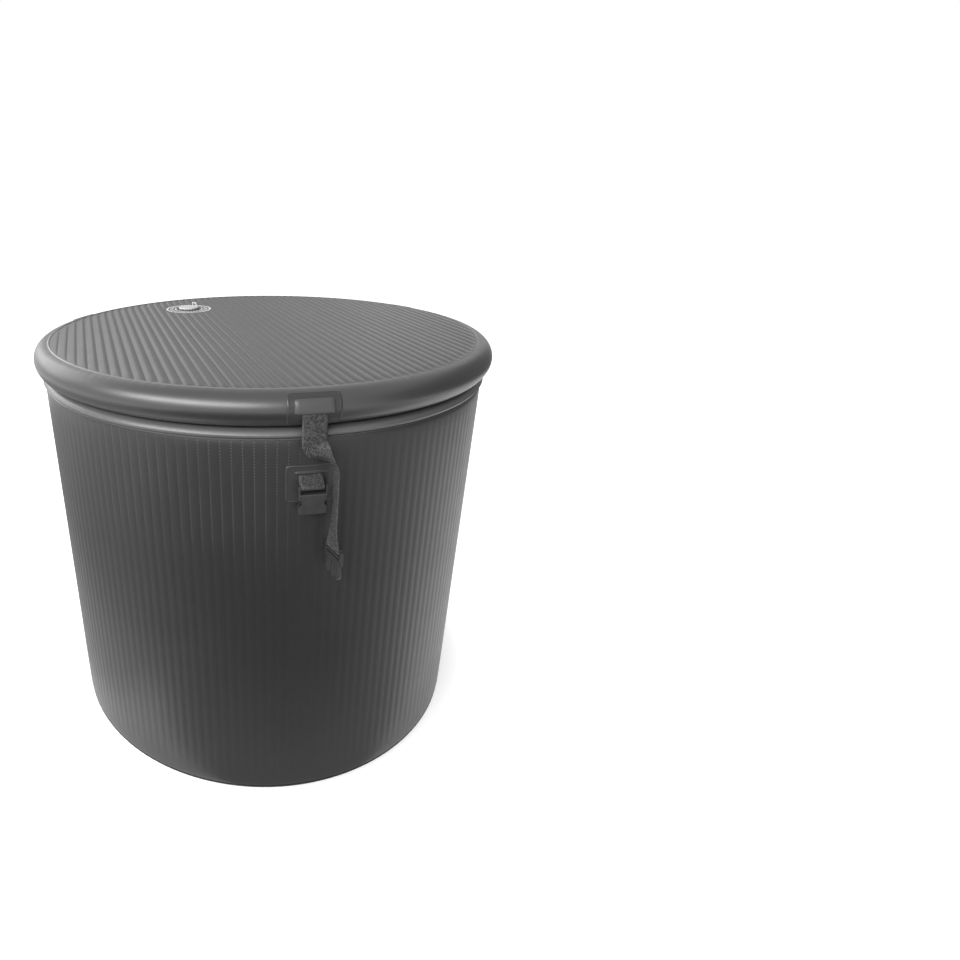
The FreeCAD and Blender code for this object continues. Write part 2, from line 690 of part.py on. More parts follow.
def drain():
    """Pieces of the drain, made along Z with zero on the outer skin's face."""
    place = wall_place(DRAIN_AZIMUTH, DRAIN_HEIGHT, outer_face)
    wet_face = inner_face - outer_face
    sag_in = inner_face - math.sqrt(inner_face ** 2 - DRAIN_FLANGE ** 2)
    sag_out = outer_face - math.sqrt(outer_face ** 2 - DRAIN_CLAMP ** 2)
    flange_high = wet_face - sag_in - DRAIN_GASKET
    flange_low = flange_high - DRAIN_FLANGE_THICKNESS
    body = tube(DRAIN_TUBE, DRAIN_BORE, flange_low, DRAIN_NECK)
    body = body.fuse(tube(DRAIN_FLANGE, DRAIN_BORE, flange_low, flange_high))
    hole = DRAIN_TUBE + SEAT_GAP
    gasket_in = placed(tube(DRAIN_GASKET_RADIUS, hole, flange_high, wet_face + sag_in), place)
    gasket_in = gasket_in.common(rod(inner_face, 0, TUB_HEIGHT))
    gasket_out = placed(tube(DRAIN_GASKET_RADIUS, hole, -sag_out, DRAIN_GASKET), place)
    gasket_out = gasket_out.cut(rod(outer_face, 0, TUB_HEIGHT))
    clamp_high = DRAIN_GASKET + DRAIN_CLAMP_THICKNESS
    clamp = tube(DRAIN_CLAMP, hole, DRAIN_GASKET, clamp_high)
    cap_low = clamp_high + BODY_GAP
    cap_top = DRAIN_NECK + BODY_GAP + DRAIN_CAP_ROOF
    cap = rod(DRAIN_CAP, cap_low, cap_top).cut(rod(DRAIN_TUBE + BODY_GAP, cap_low, DRAIN_NECK + BODY_GAP))
    for k in range(DRAIN_CAP_GRIPS):
        groove = rod(DRAIN_CAP_GRIP, cap_low, cap_top)
        groove.translate(Vector(DRAIN_CAP, 0, 0))
        groove.rotate(ORIGIN, Z_AXIS, 360.0 * k / DRAIN_CAP_GRIPS)
        cap = cap.cut(groove)
    return {
        "drain_body": placed(body.removeSplitter(), place),
        "drain_inner_gasket": gasket_in,
        "drain_outer_gasket": gasket_out,
        "drain_clamp": placed(clamp, place),
        "drain_cap": placed(cap, place),
    }


lid_valve_radius = lid_radius - LID_VALVE_INSET
lid_valve_at = at_azimuth(Part.Vertex(0, -lid_valve_radius, lid_top), LID_VALVE_AZIMUTH).Point
lid_valve_place = Placement(lid_valve_at, Rotation(Z_AXIS, LID_LOOP_TURN))
wall_valve_height = TUB_HEIGHT - WALL_VALVE_DROP
wall_valve_place = wall_place(WALL_VALVE_AZIMUTH, wall_valve_height, outer_face, WALL_LOOP_TURN)
drain_place = wall_place(DRAIN_AZIMUTH, DRAIN_HEIGHT, outer_face)
valve_hole = rod(VALVE_BARREL + VALVE_HOLE_GAP, -WALL_THICKNESS / 2, WALL_THICKNESS / 2)
drain_hole = rod(DRAIN_TUBE + DRAIN_HOLE_GAP, -2 * WALL_THICKNESS, WALL_THICKNESS)
fittings = [(WALL_VALVE_AZIMUTH, VALVE_NUT + THREAD), (DRAIN_AZIMUTH, DRAIN_CLAMP + THREAD)]

nodes = {}
wall_fittings = [placed(valve_hole, wall_valve_place), placed(drain_hole, drain_place)]
nodes["wall_outer_skin"] = wall_skin(1).cut(wall_fittings)
nodes["wall_inner_skin"] = wall_skin(-1).cut(placed(drain_hole, drain_place))
nodes["top_rim_strip"] = rim_strip(top_roll, STRIP_EDGE, 180 - STRIP_EDGE)
nodes["bottom_rim_strip"] = rim_strip(bottom_roll, STRIP_EDGE - 180, -STRIP_EDGE)
nodes["wall_threads"] = wall_threads(fittings)
nodes["wall_seam_tape_outer"] = seam_tape(outer_face + SEAT_GAP, outer_face + SEAT_GAP + SEAM_TAPE)
nodes["wall_seam_tape_inner"] = seam_tape(inner_face - SEAT_GAP - SEAM_TAPE, inner_face - SEAT_GAP)

pad_radius = inner_face - FLOOR_RING_WIDTH - PAD_GAP
pad_low = BASE_SHEET + PAD_SHEET
foam_high = BASE_SHEET + PAD_THICKNESS - PAD_SHEET
foam = pad_form(pad_radius - PAD_SHEET, pad_low, foam_high, PAD_CROWN)
nodes["base_sheet"] = rod(wall_middle + BASE_LAP, 0, BASE_SHEET)
nodes["floor_weld_ring"] = floor_ring()
nodes["floor_pad_bottom"] = rod(pad_radius - (PAD_THICKNESS - PAD_SHEET) / 2, BASE_SHEET, pad_low)
nodes["floor_pad_foam"] = foam
nodes["floor_pad_top"] = pad_form(pad_radius, pad_low, foam_high + PAD_SHEET, PAD_CROWN).cut(foam)

nodes["lid_top_skin"] = lid_skin(1).cut(placed(valve_hole, lid_valve_place))
nodes["lid_bottom_skin"] = lid_skin(-1)
nodes["lid_edge_strip"] = lid_strip()
nodes["lid_threads"] = lid_threads(lid_valve_at)

for number, azimuth in enumerate(strap_azimuths, 1):
    nodes[f"strap_patch_{number}"] = strap_patch(azimuth)
    nodes[f"strap_pocket_{number}"] = strap_pocket(azimuth)
    nodes[f"strap_{number}"] = at_azimuth(strap(), azimuth)
    nodes[f"buckle_clip_{number}"] = at_azimuth(placed(buckle_clip(), clip_frame()), azimuth)
    nodes[f"anchor_patch_{number}"] = anchor_patch(azimuth)
    nodes[f"anchor_loop_{number}"] = anchor_loop(azimuth)
    hanging_socket = placed(buckle_socket(), Placement(socket_bar, Rotation()))
    nodes[f"buckle_socket_{number}"] = at_azimuth(hanging_socket, azimuth)

nodes.update(valve("lid_valve", lid_valve_place, rod(lid_radius, 0, lid_top)))
nodes.update(valve("wall_valve", wall_valve_place, rod(outer_face, 0, TUB_HEIGHT)))
nodes.update(drain())

os.makedirs("parts", exist_ok=True)
for name, shape in nodes.items():
    shape.exportStep(f"parts/{name}.step")
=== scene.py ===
import json
import math
import bmesh
import bpy
import numpy as np
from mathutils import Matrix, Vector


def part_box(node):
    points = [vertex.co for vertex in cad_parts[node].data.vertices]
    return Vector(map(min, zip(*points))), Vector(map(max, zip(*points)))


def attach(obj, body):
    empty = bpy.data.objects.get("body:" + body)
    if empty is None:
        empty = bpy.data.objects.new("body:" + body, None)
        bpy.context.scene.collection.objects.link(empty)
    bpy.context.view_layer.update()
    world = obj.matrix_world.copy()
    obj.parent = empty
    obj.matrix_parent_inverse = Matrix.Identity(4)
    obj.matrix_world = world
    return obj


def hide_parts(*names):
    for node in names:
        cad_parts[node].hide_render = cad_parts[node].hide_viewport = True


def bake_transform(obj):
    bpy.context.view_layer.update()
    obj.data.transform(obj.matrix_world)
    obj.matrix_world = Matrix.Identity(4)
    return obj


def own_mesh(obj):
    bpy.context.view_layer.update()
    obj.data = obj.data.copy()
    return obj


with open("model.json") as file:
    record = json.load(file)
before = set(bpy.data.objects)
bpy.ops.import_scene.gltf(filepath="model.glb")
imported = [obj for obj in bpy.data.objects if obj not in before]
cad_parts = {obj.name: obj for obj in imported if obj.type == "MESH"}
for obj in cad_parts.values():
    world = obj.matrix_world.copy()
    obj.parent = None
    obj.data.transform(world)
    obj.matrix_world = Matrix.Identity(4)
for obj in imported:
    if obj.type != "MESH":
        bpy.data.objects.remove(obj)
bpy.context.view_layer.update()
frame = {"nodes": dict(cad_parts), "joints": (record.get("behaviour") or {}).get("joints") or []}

# Base sheet: a flat disc of coated sheet welded under the bottom roll, which the bath stands on.
# Only its underside can be seen. The grain of the coated sheet is made here for every sheet of the bath.


def put(tree, kind, feeds=(), **settings):
    """Adds a shader node. Settings are its properties, and feeds are pairs of an input and what goes in."""
    node = tree.nodes.new("ShaderNode" + kind)
    for key, value in settings.items():
        setattr(node, key, value)
    for key, feed in feeds:
        if isinstance(feed, bpy.types.NodeSocket):
            tree.links.new(feed, node.inputs[key])
        else:
            node.inputs[key].default_value = feed
    return node


def work(tree, operation, first, second=0.0):
    """Socket with the result of one sum on two values."""
    return put(tree, "Math", ((0, first), (1, second)), operation=operation).outputs[0]


def spread(tree, value, low, high, to_low=0.0, to_high=1.0):
    """Socket that eases from one value to another while its input goes from low to high."""
    feeds = (("Value", value), ("From Min", low), ("From Max", high), ("To Min", to_low), ("To Max", to_high))
    return put(tree, "MapRange", feeds, interpolation_type="SMOOTHSTEP").outputs["Result"]


def noise(tree, place, scale, detail=2.0):
    """Socket with a cloudy value from 0 to 1, at a scale per metre."""
    return put(tree, "TexNoise", (("Vector", place), ("Scale", scale), ("Detail", detail))).outputs[0]


sheet_grain = bpy.data.node_groups.new("Sheet grain", "ShaderNodeTree")
for socket in ("Tone", "Roughness", "Height"):
    sheet_grain.interface.new_socket(socket, in_out="OUTPUT", socket_type="NodeSocketFloat")
grain_place = put(sheet_grain, "TexCoord").outputs["Object"]
grain_cloud = noise(sheet_grain, grain_place, 7.0, 4.0)
grain_fine = noise(sheet_grain, grain_place, 900.0)
grain_smear = noise(sheet_grain, grain_place, 38.0, 5.0)
grain_end = sheet_grain.nodes.new("NodeGroupOutput")
sheet_grain.links.new(spread(sheet_grain, grain_cloud, 0.25, 0.75, 0.93, 1.07), grain_end.inputs["Tone"])
sheet_grain.links.new(spread(sheet_grain, grain_smear, 0.25, 0.75, 0.97, 1.04), grain_end.inputs["Roughness"])
sheet_grain.links.new(grain_fine, grain_end.inputs["Height"])


def sheet_finish(name, tone, roughness, grain=0.12, gloss=0.5):
    """Coated sheet of a grey tone. The shared grain varies its tone and gloss, and gives a leathery bump."""
    material = bpy.data.materials.new(name)
    material.use_nodes = True
    tree = material.node_tree
    shader = tree.nodes["Principled BSDF"]
    shader.inputs["Specular IOR Level"].default_value = gloss
    group = put(tree, "Group", node_tree=sheet_grain)
    tree.links.new(work(tree, "MULTIPLY", group.outputs["Tone"], tone), shader.inputs["Base Color"])
    tree.links.new(work(tree, "MULTIPLY", group.outputs["Roughness"], roughness), shader.inputs["Roughness"])
    bump = put(tree, "Bump", (("Height", group.outputs["Height"]), ("Strength", grain), ("Distance", 0.0004)))
    tree.links.new(bump.outputs["Normal"], shader.inputs["Normal"])
    return material


def dress(obj, material):
    """Gives a piece its finish."""
    obj.data.materials.clear()
    obj.data.materials.append(material)
    return obj


base_finish = sheet_finish("Base sheet", 0.03, 0.5)
dress(frame["nodes"]["base_sheet"], base_finish)


# Floor weld ring: a band of coated sheet, paler than the wall, that closes the corner between the wall and
# the floor pad. It is welded to the bottom roll and lies flat on the base sheet, with small puckers.


def surface(name, grid, flat, closed=True, hole=None):
    """Mesh through a grid of points, with flat as its UV map in metres. Seams and poles are merged.

    A closed shell has its faces turned outwards, and faces whose middle lies in the hole are left out.
    """
    rows, columns = grid.shape[:2]
    index = np.arange(rows * columns).reshape(rows, columns)
    quads = np.stack([index[:-1, :-1], index[:-1, 1:], index[1:, 1:], index[1:, :-1]], -1).reshape(-1, 4)
    points = grid.reshape(-1, 3)
    if hole is not None:
        quads = quads[~hole(points[quads].mean(1))]
    mesh = bpy.data.meshes.new(name)
    mesh.from_pydata(points, [], quads)
    layer = mesh.uv_layers.new(name="Flat")
    layer.data.foreach_set("uv", flat.reshape(-1, 2)[quads.ravel()].astype(np.float32).ravel())
    shell = bmesh.new()
    shell.from_mesh(mesh)
    bmesh.ops.remove_doubles(shell, verts=shell.verts, dist=2e-6)
    if closed:
        bmesh.ops.recalc_face_normals(shell, faces=shell.faces)
    shell.to_mesh(mesh)
    shell.free()
    mesh.polygons.foreach_set("use_smooth", np.ones(len(mesh.polygons), bool))
    obj = bpy.data.objects.new(name, mesh)
    bpy.context.scene.collection.objects.link(obj)
    return obj


def curve(centre, radius, start, end, count):
    """Points of an arc in radius and height, between two angles in degrees."""
    angle = np.radians(np.linspace(start, end, count))
    return np.stack([centre[0] + radius * np.cos(angle), centre[1] + radius * np.sin(angle)], -1)


def band(name, profile, columns, swell=None, closed=True, hole=None):
    """Ring: a profile in radius and height turned round the Z axis, from the front and anticlockwise.

    Swell, an array of profile points by columns, moves the surface out along the profile's normal.
    """
    turn = np.linspace(0, 2 * np.pi, columns + 1)
    step = np.gradient(profile, axis=0)
    step /= np.maximum(np.linalg.norm(step, axis=1, keepdims=True), 1e-12)
    rise = np.zeros((len(profile), columns + 1)) if swell is None else swell
    radius = profile[:, :1] + step[:, 1:] * rise
    height = profile[:, 1:] - step[:, :1] * rise
    grid = np.stack([radius * np.sin(turn), -radius * np.cos(turn), height + 0 * turn], -1)
    along = np.concatenate([[0], np.cumsum(np.linalg.norm(np.diff(profile, axis=0), axis=1))])
    flat = np.stack(np.broadcast_arrays(turn * profile[:, 0].max(), along[:, None]), -1)
    return surface(name, grid, flat, closed, hole)


def waves(turn, counts, seed):
    """Sum of sines round the ring with seeded phases and sizes, between about -1 and 1."""
    chance = np.random.default_rng(seed)
    phase = chance.uniform(0, 2 * np.pi, len(counts))
    size = chance.uniform(0.5, 1.0, len(counts))
    total = np.sin(np.asarray(counts)[:, None] * turn + phase[:, None]) * size[:, None]
    return total.sum(0) / size.sum()


def stand_in(obj, material, slot, body, *nodes):
    """Finishes a new piece: its material, the CAD body it rides on and the CAD nodes it stands for."""
    dress(obj, material)
    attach(obj, body)
    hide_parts(*nodes)
    return obj


roll = 0.025
wall_middle = 0.375
bottom_roll = (wall_middle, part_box("bottom_rim_strip")[0].z + roll)
ring_toe = wall_middle - 0.0508
ring_width = 0.014
ring_height = 0.0034
ring_bend = 0.016
ring_lap = 0.001
ring_pucker_height = 0.0007
ring_flat = np.stack([np.linspace(ring_toe, ring_toe + ring_width, 6), np.full(6, ring_height)], -1)
ring_rise = curve((ring_toe + ring_width - ring_lap, ring_height + ring_bend), ring_bend, -90, 0, 10)
ring_face = np.concatenate([ring_flat, ring_rise[1:]])
ring_back = np.stack([ring_face[::-1, 0] + 0.0006, ring_face[::-1, 1] - 0.0012], -1)
ring_profile = np.concatenate([ring_face, ring_back, ring_face[:1]])[::-1]
ring_turn = np.linspace(0, 2 * np.pi, 361)
ring_pucker = waves(ring_turn, (17, 29, 41, 53, 71), 3) * ring_pucker_height
ring_share = np.concatenate([np.zeros(len(ring_back) + 1),
                             np.sin(np.linspace(0, np.pi, len(ring_face)))])
ring_finish = sheet_finish("Floor ring", 0.15, 0.5)
floor_ring = band("floor_ring", ring_profile, 360, ring_share[:, None] * ring_pucker)
stand_in(floor_ring, ring_finish, "rim_sheet", "tub", "floor_weld_ring")


# Floor pad: foam sewn between two round sheets of soft coated cloth, loose enough to wrinkle.
# The top sheet is cut too large for its edge, laid on the foam and left to settle, which gives its creases.
pad_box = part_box("floor_pad_top")
pad_count = 97
pad_round = 0.0085
pad_thickness = 0.017
pad_edge = pad_box[1].x - pad_round
pad_low = pad_box[0].z
pad_side = pad_low + pad_thickness
pad_crown = pad_box[1].z - pad_side
pad_jitter = 0.0006
pad_slack = 0.002
pad_sink = -0.0005
pad_highest = 0.007
settle_steps = 30


def round_net(radius, count):
    """Square net of points drawn onto a disc: each square ring of the net becomes a circle."""
    side = np.linspace(-1, 1, count)
    across, along = np.meshgrid(side, side)
    wide = np.abs(across) >= np.abs(along)
    reach = np.where(wide, across, along)
    other = np.where(wide, along, across)
    lean = np.divide(other, reach, out=np.zeros_like(other), where=np.abs(reach) > 1e-9) * np.pi / 4
    far = radius * reach * np.cos(lean)
    near = radius * reach * np.sin(lean)
    return np.where(wide, far, near), np.where(wide, near, far)


pad_x, pad_y = round_net(pad_edge, pad_count)
pad_share = np.clip(np.hypot(pad_x, pad_y) / pad_edge, 0, 1)
pad_dome = pad_side + pad_crown * (1 - pad_share ** 2)
pad_top = np.stack([pad_x, pad_y, pad_dome], -1)
pad_flat = np.stack([pad_x, pad_y], -1)


def settled(net, foam_net, flat):
    """The top sheet after it has settled: cloth a little too large for its edge, held there, on the foam."""
    cloth = surface("pad_settling", net, flat, closed=False)
    foam = surface("pad_foam_below", foam_net, flat, closed=False)
    foam.modifiers.new("Foam", "COLLISION")
    foam.collision.thickness_outer = 0.001
    held = cloth.vertex_groups.new(name="Edge")
    points = np.empty(len(cloth.data.vertices) * 3)
    cloth.data.vertices.foreach_get("co", points)
    reach = np.hypot(points[0::3], points[1::3])
    held.add(np.flatnonzero(reach > pad_edge - 1e-5).tolist(), 1.0, "REPLACE")
    soft = cloth.modifiers.new("Settling", "CLOTH")
    soft.settings.quality = 6
    soft.settings.mass = 0.15
    soft.settings.tension_stiffness = 12.0
    soft.settings.compression_stiffness = 12.0
    soft.settings.shear_stiffness = 6.0
    soft.settings.bending_stiffness = 0.4
    soft.settings.vertex_group_mass = "Edge"
    soft.settings.shrink_min = -0.022
    soft.settings.shrink_max = -0.022
    soft.settings.effector_weights.gravity = 0.6
    soft.collision_settings.distance_min = 0.001
    scene = bpy.context.scene
    for step in range(1, settle_steps + 1):
        scene.frame_set(step)
    done = cloth.evaluated_get(bpy.context.evaluated_depsgraph_get())
    moved = np.empty(len(done.data.vertices) * 3)
    done.data.vertices.foreach_get("co", moved)
    scene.frame_set(1)
    bpy.data.objects.remove(cloth)
    bpy.data.objects.remove(foam)
    return moved.reshape(net.shape)


chance = np.random.default_rng(11)
pad_uneven = pad_jitter * chance.standard_normal(pad_x.shape)
pad_start = pad_top + np.stack([0 * pad_x, 0 * pad_x, pad_uneven], -1)
pad_start[..., 2] = np.where(pad_share > 0.999, pad_side, pad_start[..., 2] + pad_slack)
pad_wrinkled = settled(pad_start, pad_top, pad_flat)
pad_lift = np.clip(pad_wrinkled[..., 2] - pad_dome, pad_sink, pad_highest)
pad_top = np.stack([pad_wrinkled[..., 0], pad_wrinkled[..., 1], pad_dome + pad_lift], -1)
pad_rim = np.concatenate([np.arange(pad_count), pad_count - 1 + np.arange(1, pad_count) * pad_count,
                          pad_count * pad_count - 1 - np.arange(1, pad_count),
                          (pad_count - 1 - np.arange(1, pad_count)) * pad_count])
pad_turn = np.arctan2(pad_y.ravel()[pad_rim], pad_x.ravel()[pad_rim])
pad_side_profile = curve((pad_edge, (pad_low + pad_side) / 2), (pad_side - pad_low) / 2, 90, -90, 9)
pad_side_grid = np.stack([pad_side_profile[:, :1] * np.cos(pad_turn),
                          pad_side_profile[:, :1] * np.sin(pad_turn),
                          pad_side_profile[:, 1:] + 0 * pad_turn], -1)
pad_under = np.stack([pad_x, pad_y, np.full_like(pad_x, pad_low)], -1)
pad_side_flat = np.stack(np.broadcast_arrays(pad_turn * pad_edge, pad_side_profile[:, 1:]), -1)
pad_pieces = [surface("pad_sheet", pad_top, pad_flat), surface("pad_side", pad_side_grid, pad_side_flat),
              surface("pad_under", pad_under, pad_flat)]
floor_pad = pad_pieces[0]
pad_shell = bmesh.new()
for piece in pad_pieces:
    pad_shell.from_mesh(piece.data)
bmesh.ops.remove_doubles(pad_shell, verts=pad_shell.verts, dist=1e-5)
bmesh.ops.recalc_face_normals(pad_shell, faces=pad_shell.faces)
pad_shell.to_mesh(floor_pad.data)
pad_shell.free()
bpy.data.objects.remove(pad_pieces[1])
bpy.data.objects.remove(pad_pieces[2])
floor_pad.name = "floor_pad"
pad_smooth = floor_pad.modifiers.new("Round", "SUBSURF")
pad_smooth.levels = 1
pad_smooth.render_levels = 1
pad_finish = sheet_finish("Pad cloth", 0.16, 0.5, 0.25)
stand_in(floor_pad, pad_finish, "pad_sheet", "tub", "floor_pad_top", "floor_pad_foam", "floor_pad_bottom")


# Wall skins: two cylinders of coated drop-stitch sheet, tied by rows of threads that draw them in along
# upright valleys. Their ends run in under the rim strips, and the ribs fade out there.
wall_ribs = 160
wall_columns = wall_ribs * 5
wall_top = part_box("top_rim_strip")[1].z
top_roll = (wall_middle, wall_top - roll)
skin_roll = 0.0238
skin_tuck = 40
rib_depth = 0.0006
wall_wobble = 0.00025
sheet_thickness = 0.001
needle_pitch = 0.0046
drain_hole = 0.0125
drain_low, drain_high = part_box("drain_cap")
drain_height = (drain_low.z + drain_high.z) / 2


def skin_profile(side):
    """Profile of a wall skin, up the outside or down the inside, with its ends tucked round the rolls."""
    rise = np.linspace(bottom_roll[1], top_roll[1], 46)[1:-1]
    straight = np.full_like(rise, wall_middle + side * skin_roll)
    if side > 0:
        low = curve(bottom_roll, skin_roll, -skin_tuck, 0, 5)
        high = curve(top_roll, skin_roll, 0, skin_tuck, 5)
        return np.concatenate([low, np.stack([straight, rise], -1), high])
    high = curve(top_roll, skin_roll, 180 - skin_tuck, 180, 5)
    low = curve(bottom_roll, skin_roll, 180, 180 + skin_tuck, 5)
    return np.concatenate([high, np.stack([straight, rise[::-1]], -1), low])


def ribs(phase):
    """Height of the ribs across one: rounded crests and narrow valleys, from 0 to 1."""
    return np.abs(np.sin(np.pi * phase)) ** 0.8


def ease(value, low, high):
    """Smooth step from 0 to 1 while the value goes from low to high."""
    share = np.clip((value - low) / (high - low), 0, 1)
    return share * share * (3 - 2 * share)


def by_drain(middles):
    """Places where the drain's tube goes through the wall."""
    return (middles[:, 1] > 0) & (np.hypot(middles[:, 0], middles[:, 2] - drain_height) < drain_hole)


def thickened(skin):
    """Gives a skin the thickness of its sheet, inwards."""
    sheet = skin.modifiers.new("Sheet", "SOLIDIFY")
    sheet.thickness = sheet_thickness
    sheet.offset = -1
    return skin


def wall_skin(name, side):
    """Ribbed cylinder: its radius follows the ribs round the wall, fading near both ends."""
    profile = skin_profile(side)
    turn = np.linspace(0, 2 * np.pi, wall_columns + 1)
    fade = ease(profile[:, 1], 0.026, 0.085) * ease(wall_top - profile[:, 1], 0.016, 0.05)
    wobble = wall_wobble * waves(turn, (3, 5, 8, 13), 5)
    swell = fade[:, None] * (rib_depth * (ribs(turn * wall_ribs / (2 * np.pi)) - 0.5) + wobble)
    return thickened(band(name, profile, wall_columns, swell, closed=False, hole=by_drain))


def apart(tree, first, second):
    """Socket with the distance between two values."""
    return work(tree, "ABSOLUTE", work(tree, "SUBTRACT", first, second))


wall_finish = sheet_finish("Wall sheet", 0.024, 0.4)
wall_tree = wall_finish.node_tree
wall_flat = put(wall_tree, "SeparateXYZ", ((0, put(wall_tree, "TexCoord").outputs["UV"]),))
rib_pitch = 2 * math.pi * (wall_middle + skin_roll) / wall_ribs
# Painted glints: small lighter dots along the rib valleys at the needle holes, only on the upper left of the
# wall where the light falls. They stand in for the glints of the needle dimples.
across_rib = work(wall_tree, "FRACT", work(wall_tree, "DIVIDE", wall_flat.outputs["X"], rib_pitch))
in_valley = spread(wall_tree, apart(wall_tree, across_rib, 0.5), 0.42, 0.48)
up_row = work(wall_tree, "FRACT", work(wall_tree, "DIVIDE", wall_flat.outputs["Y"], needle_pitch))
at_needle = spread(wall_tree, apart(wall_tree, up_row, 0.5), 0.3, 0.15)
glint_place = put(wall_tree, "TexCoord").outputs["Object"]
glint_xyz = put(wall_tree, "SeparateXYZ", ((0, glint_place),))
glint_noise = noise(wall_tree, glint_place, 9.0)
glint_side = spread(wall_tree, glint_xyz.outputs["X"], 0.02, -0.06)
glint_high = work(wall_tree, "MULTIPLY", glint_side, spread(wall_tree, glint_xyz.outputs["Z"], 0.42, 0.58))
glint_patch = work(wall_tree, "MULTIPLY", glint_high, spread(wall_tree, glint_noise, 0.35, 0.6, 0.25, 1.0))
needle_glint = work(wall_tree, "MULTIPLY", work(wall_tree, "MULTIPLY", in_valley, at_needle), glint_patch)
wall_shader = wall_tree.nodes["Principled BSDF"]
plain_tone = wall_shader.inputs["Base Color"].links[0].from_socket
# Adds the painted glints to the sheet's tone.
wall_tree.links.new(work(wall_tree, "ADD", plain_tone, work(wall_tree, "MULTIPLY", needle_glint, 0.06)),
                    wall_shader.inputs["Base Color"])
outer_skin = wall_skin("outer_skin", 1)
inner_skin = wall_skin("inner_skin", -1)
stand_in(outer_skin, wall_finish, "ribbed_sheet", "tub", "wall_outer_skin")
# The inner skin and inner tape have a paler tone than the outer wall, though the sheet is the same: painted
# light that lifts the shade inside the tub.
inner_lifted_finish = sheet_finish("Inner wall sheet lightened against shade", 0.05, 0.42)
stand_in(inner_skin, inner_lifted_finish, "ribbed_sheet", "tub", "wall_inner_skin")
thread_finish = sheet_finish("Drop threads", 0.5, 0.8)
dress(frame["nodes"]["wall_threads"], thread_finish)


# Rim strips: smooth half-round bands of coated sheet over the wall's top and bottom edges, welded to both
# skins. The ribs show through at their edges, and the inner edge puckers because it is the shorter way round.
rim_finish = sheet_finish("Rim strip", 0.03, 0.36)
# The top strip has a paler tone than the bottom one, though it is the same sheet: painted light for the sheen
# its upward face catches under the lid.
top_rim_lit_finish = sheet_finish("Top rim strip painted light", 0.11, 0.36, 0.06, 0.7)
rim_columns = 960
strip_edge = 24.0
strip_rise = 0.0002
strip_back = 0.0012
rib_telegraph = 0.0002
rim_pucker = 0.0010
top_bulge = 0.0055


def rim_strip(name, centre, start, end, inner_first, seed, bulge):
    """Half-round band: an arc of the roll's circle as a thin closed strip, with puckers near its edges.

    The air inside swells it by the bulge just past its outer edge.
    """
    face = curve(centre, roll + strip_rise, start, end, 37)
    back = curve(centre, roll - strip_back, end, start, 9)
    profile = np.concatenate([face, back, face[:1]])
    turn = np.linspace(0, 2 * np.pi, rim_columns + 1)
    place = np.linspace(0, 1, len(face))
    inner = 1 - place if inner_first else place
    near_edge = ease(np.abs(place - 0.5), 0.36, 0.5)[:, None]
    telegraph = near_edge * rib_telegraph * (ribs(turn * wall_ribs / (2 * np.pi)) - 0.7)
    pucker = (ease(inner, 0.72, 0.97) * (1 - ease(inner, 0.97, 1.0)))[:, None]
    pucker = pucker * rim_pucker * waves(turn, (37, 53, 61, 83, 97, 131), seed)
    swollen = bulge * (ease(inner, -0.03, 0.03) * (1 - ease(inner, 0.10, 0.41)))[:, None]
    swell = np.concatenate([telegraph + pucker + swollen, np.zeros((len(back) + 1, rim_columns + 1))])
    swell[-1] = swell[0]
    return band(name, profile, rim_columns, swell)


top_rim = rim_strip("top_rim", top_roll, strip_edge, 180 - strip_edge, False, 7, top_bulge)
bottom_rim = rim_strip("bottom_rim", bottom_roll, strip_edge - 180, -strip_edge, True, 9, 0.0)
stand_in(top_rim, top_rim_lit_finish, "rim_sheet", "tub", "top_rim_strip")
stand_in(bottom_rim, rim_finish, "rim_sheet", "tub", "bottom_rim_strip")


# Seam tapes: upright tapes of coated sheet welded over the joint of the wall sheet, outside and inside.
# The ribs press through the outer one, and their edges are rounded.
patch_sink = 0.0004


def patch(name, half_wide, half_high, thickness, lay, corner, counts, relief=None):
    """Thin welded patch: a net over a rectangle with rounded corners, laid on a curved face.

    The square net's rings take the outline |x|^n + |y|^n = 1, its thickness falls to nothing at the outline,
    and relief(x, y, ring) adds to the thickness. lay(x, y, height) gives the points in space.
    """
    across, along = np.meshgrid(np.sin(np.linspace(-np.pi / 2, np.pi / 2, counts[0])),
                                np.sin(np.linspace(-np.pi / 2, np.pi / 2, counts[1])))
    ring = np.maximum(np.abs(across), np.abs(along))
    turn = np.arctan2(along, across)
    cos, sin = np.cos(turn), np.sin(turn)
    reach = ring * (np.abs(cos) ** corner + np.abs(sin) ** corner) ** (-1 / corner)
    x, y = half_wide * reach * cos, half_high * reach * sin
    rim = min(half_wide, half_high) * (1 - ring)
    height = thickness * np.sqrt(np.clip(1 - (1 - np.clip(rim / (0.9 * thickness), 0, 1)) ** 2, 0, 1))
    if relief is not None:
        height = height + relief(x, y, ring) * (ring < 1)
    front = lay(x, y, height)
    back = lay(x, y, np.where(ring < 1, -patch_sink, height))
    grid = np.concatenate([front, back[::-1]])
    flat = np.concatenate([np.stack([x, y], -1), np.stack([x, y], -1)[::-1]])
    return surface(name, grid, flat)


def on_wall(azimuth, height, face, side=1):
    """Way to lay a patch on the wall: x runs round it and y up it, from a middle at an azimuth and height."""
    def lay(x, y, rise):
        turn = math.radians(azimuth) + side * x / face
        radius = face + side * rise
        return np.stack([radius * np.sin(turn), -radius * np.cos(turn), height + y], -1)
    return lay


def rib_show(face_azimuth, face, share):
    """Relief that repeats the wall's ribs on a sheet laid over them."""
    def relief(x, y, ring):
        turn = math.radians(face_azimuth) + x / face
        return share * rib_depth * (ribs(turn * wall_ribs / (2 * np.pi)) - 0.5) * ease(1 - ring, 0.0, 0.08)
    return relief


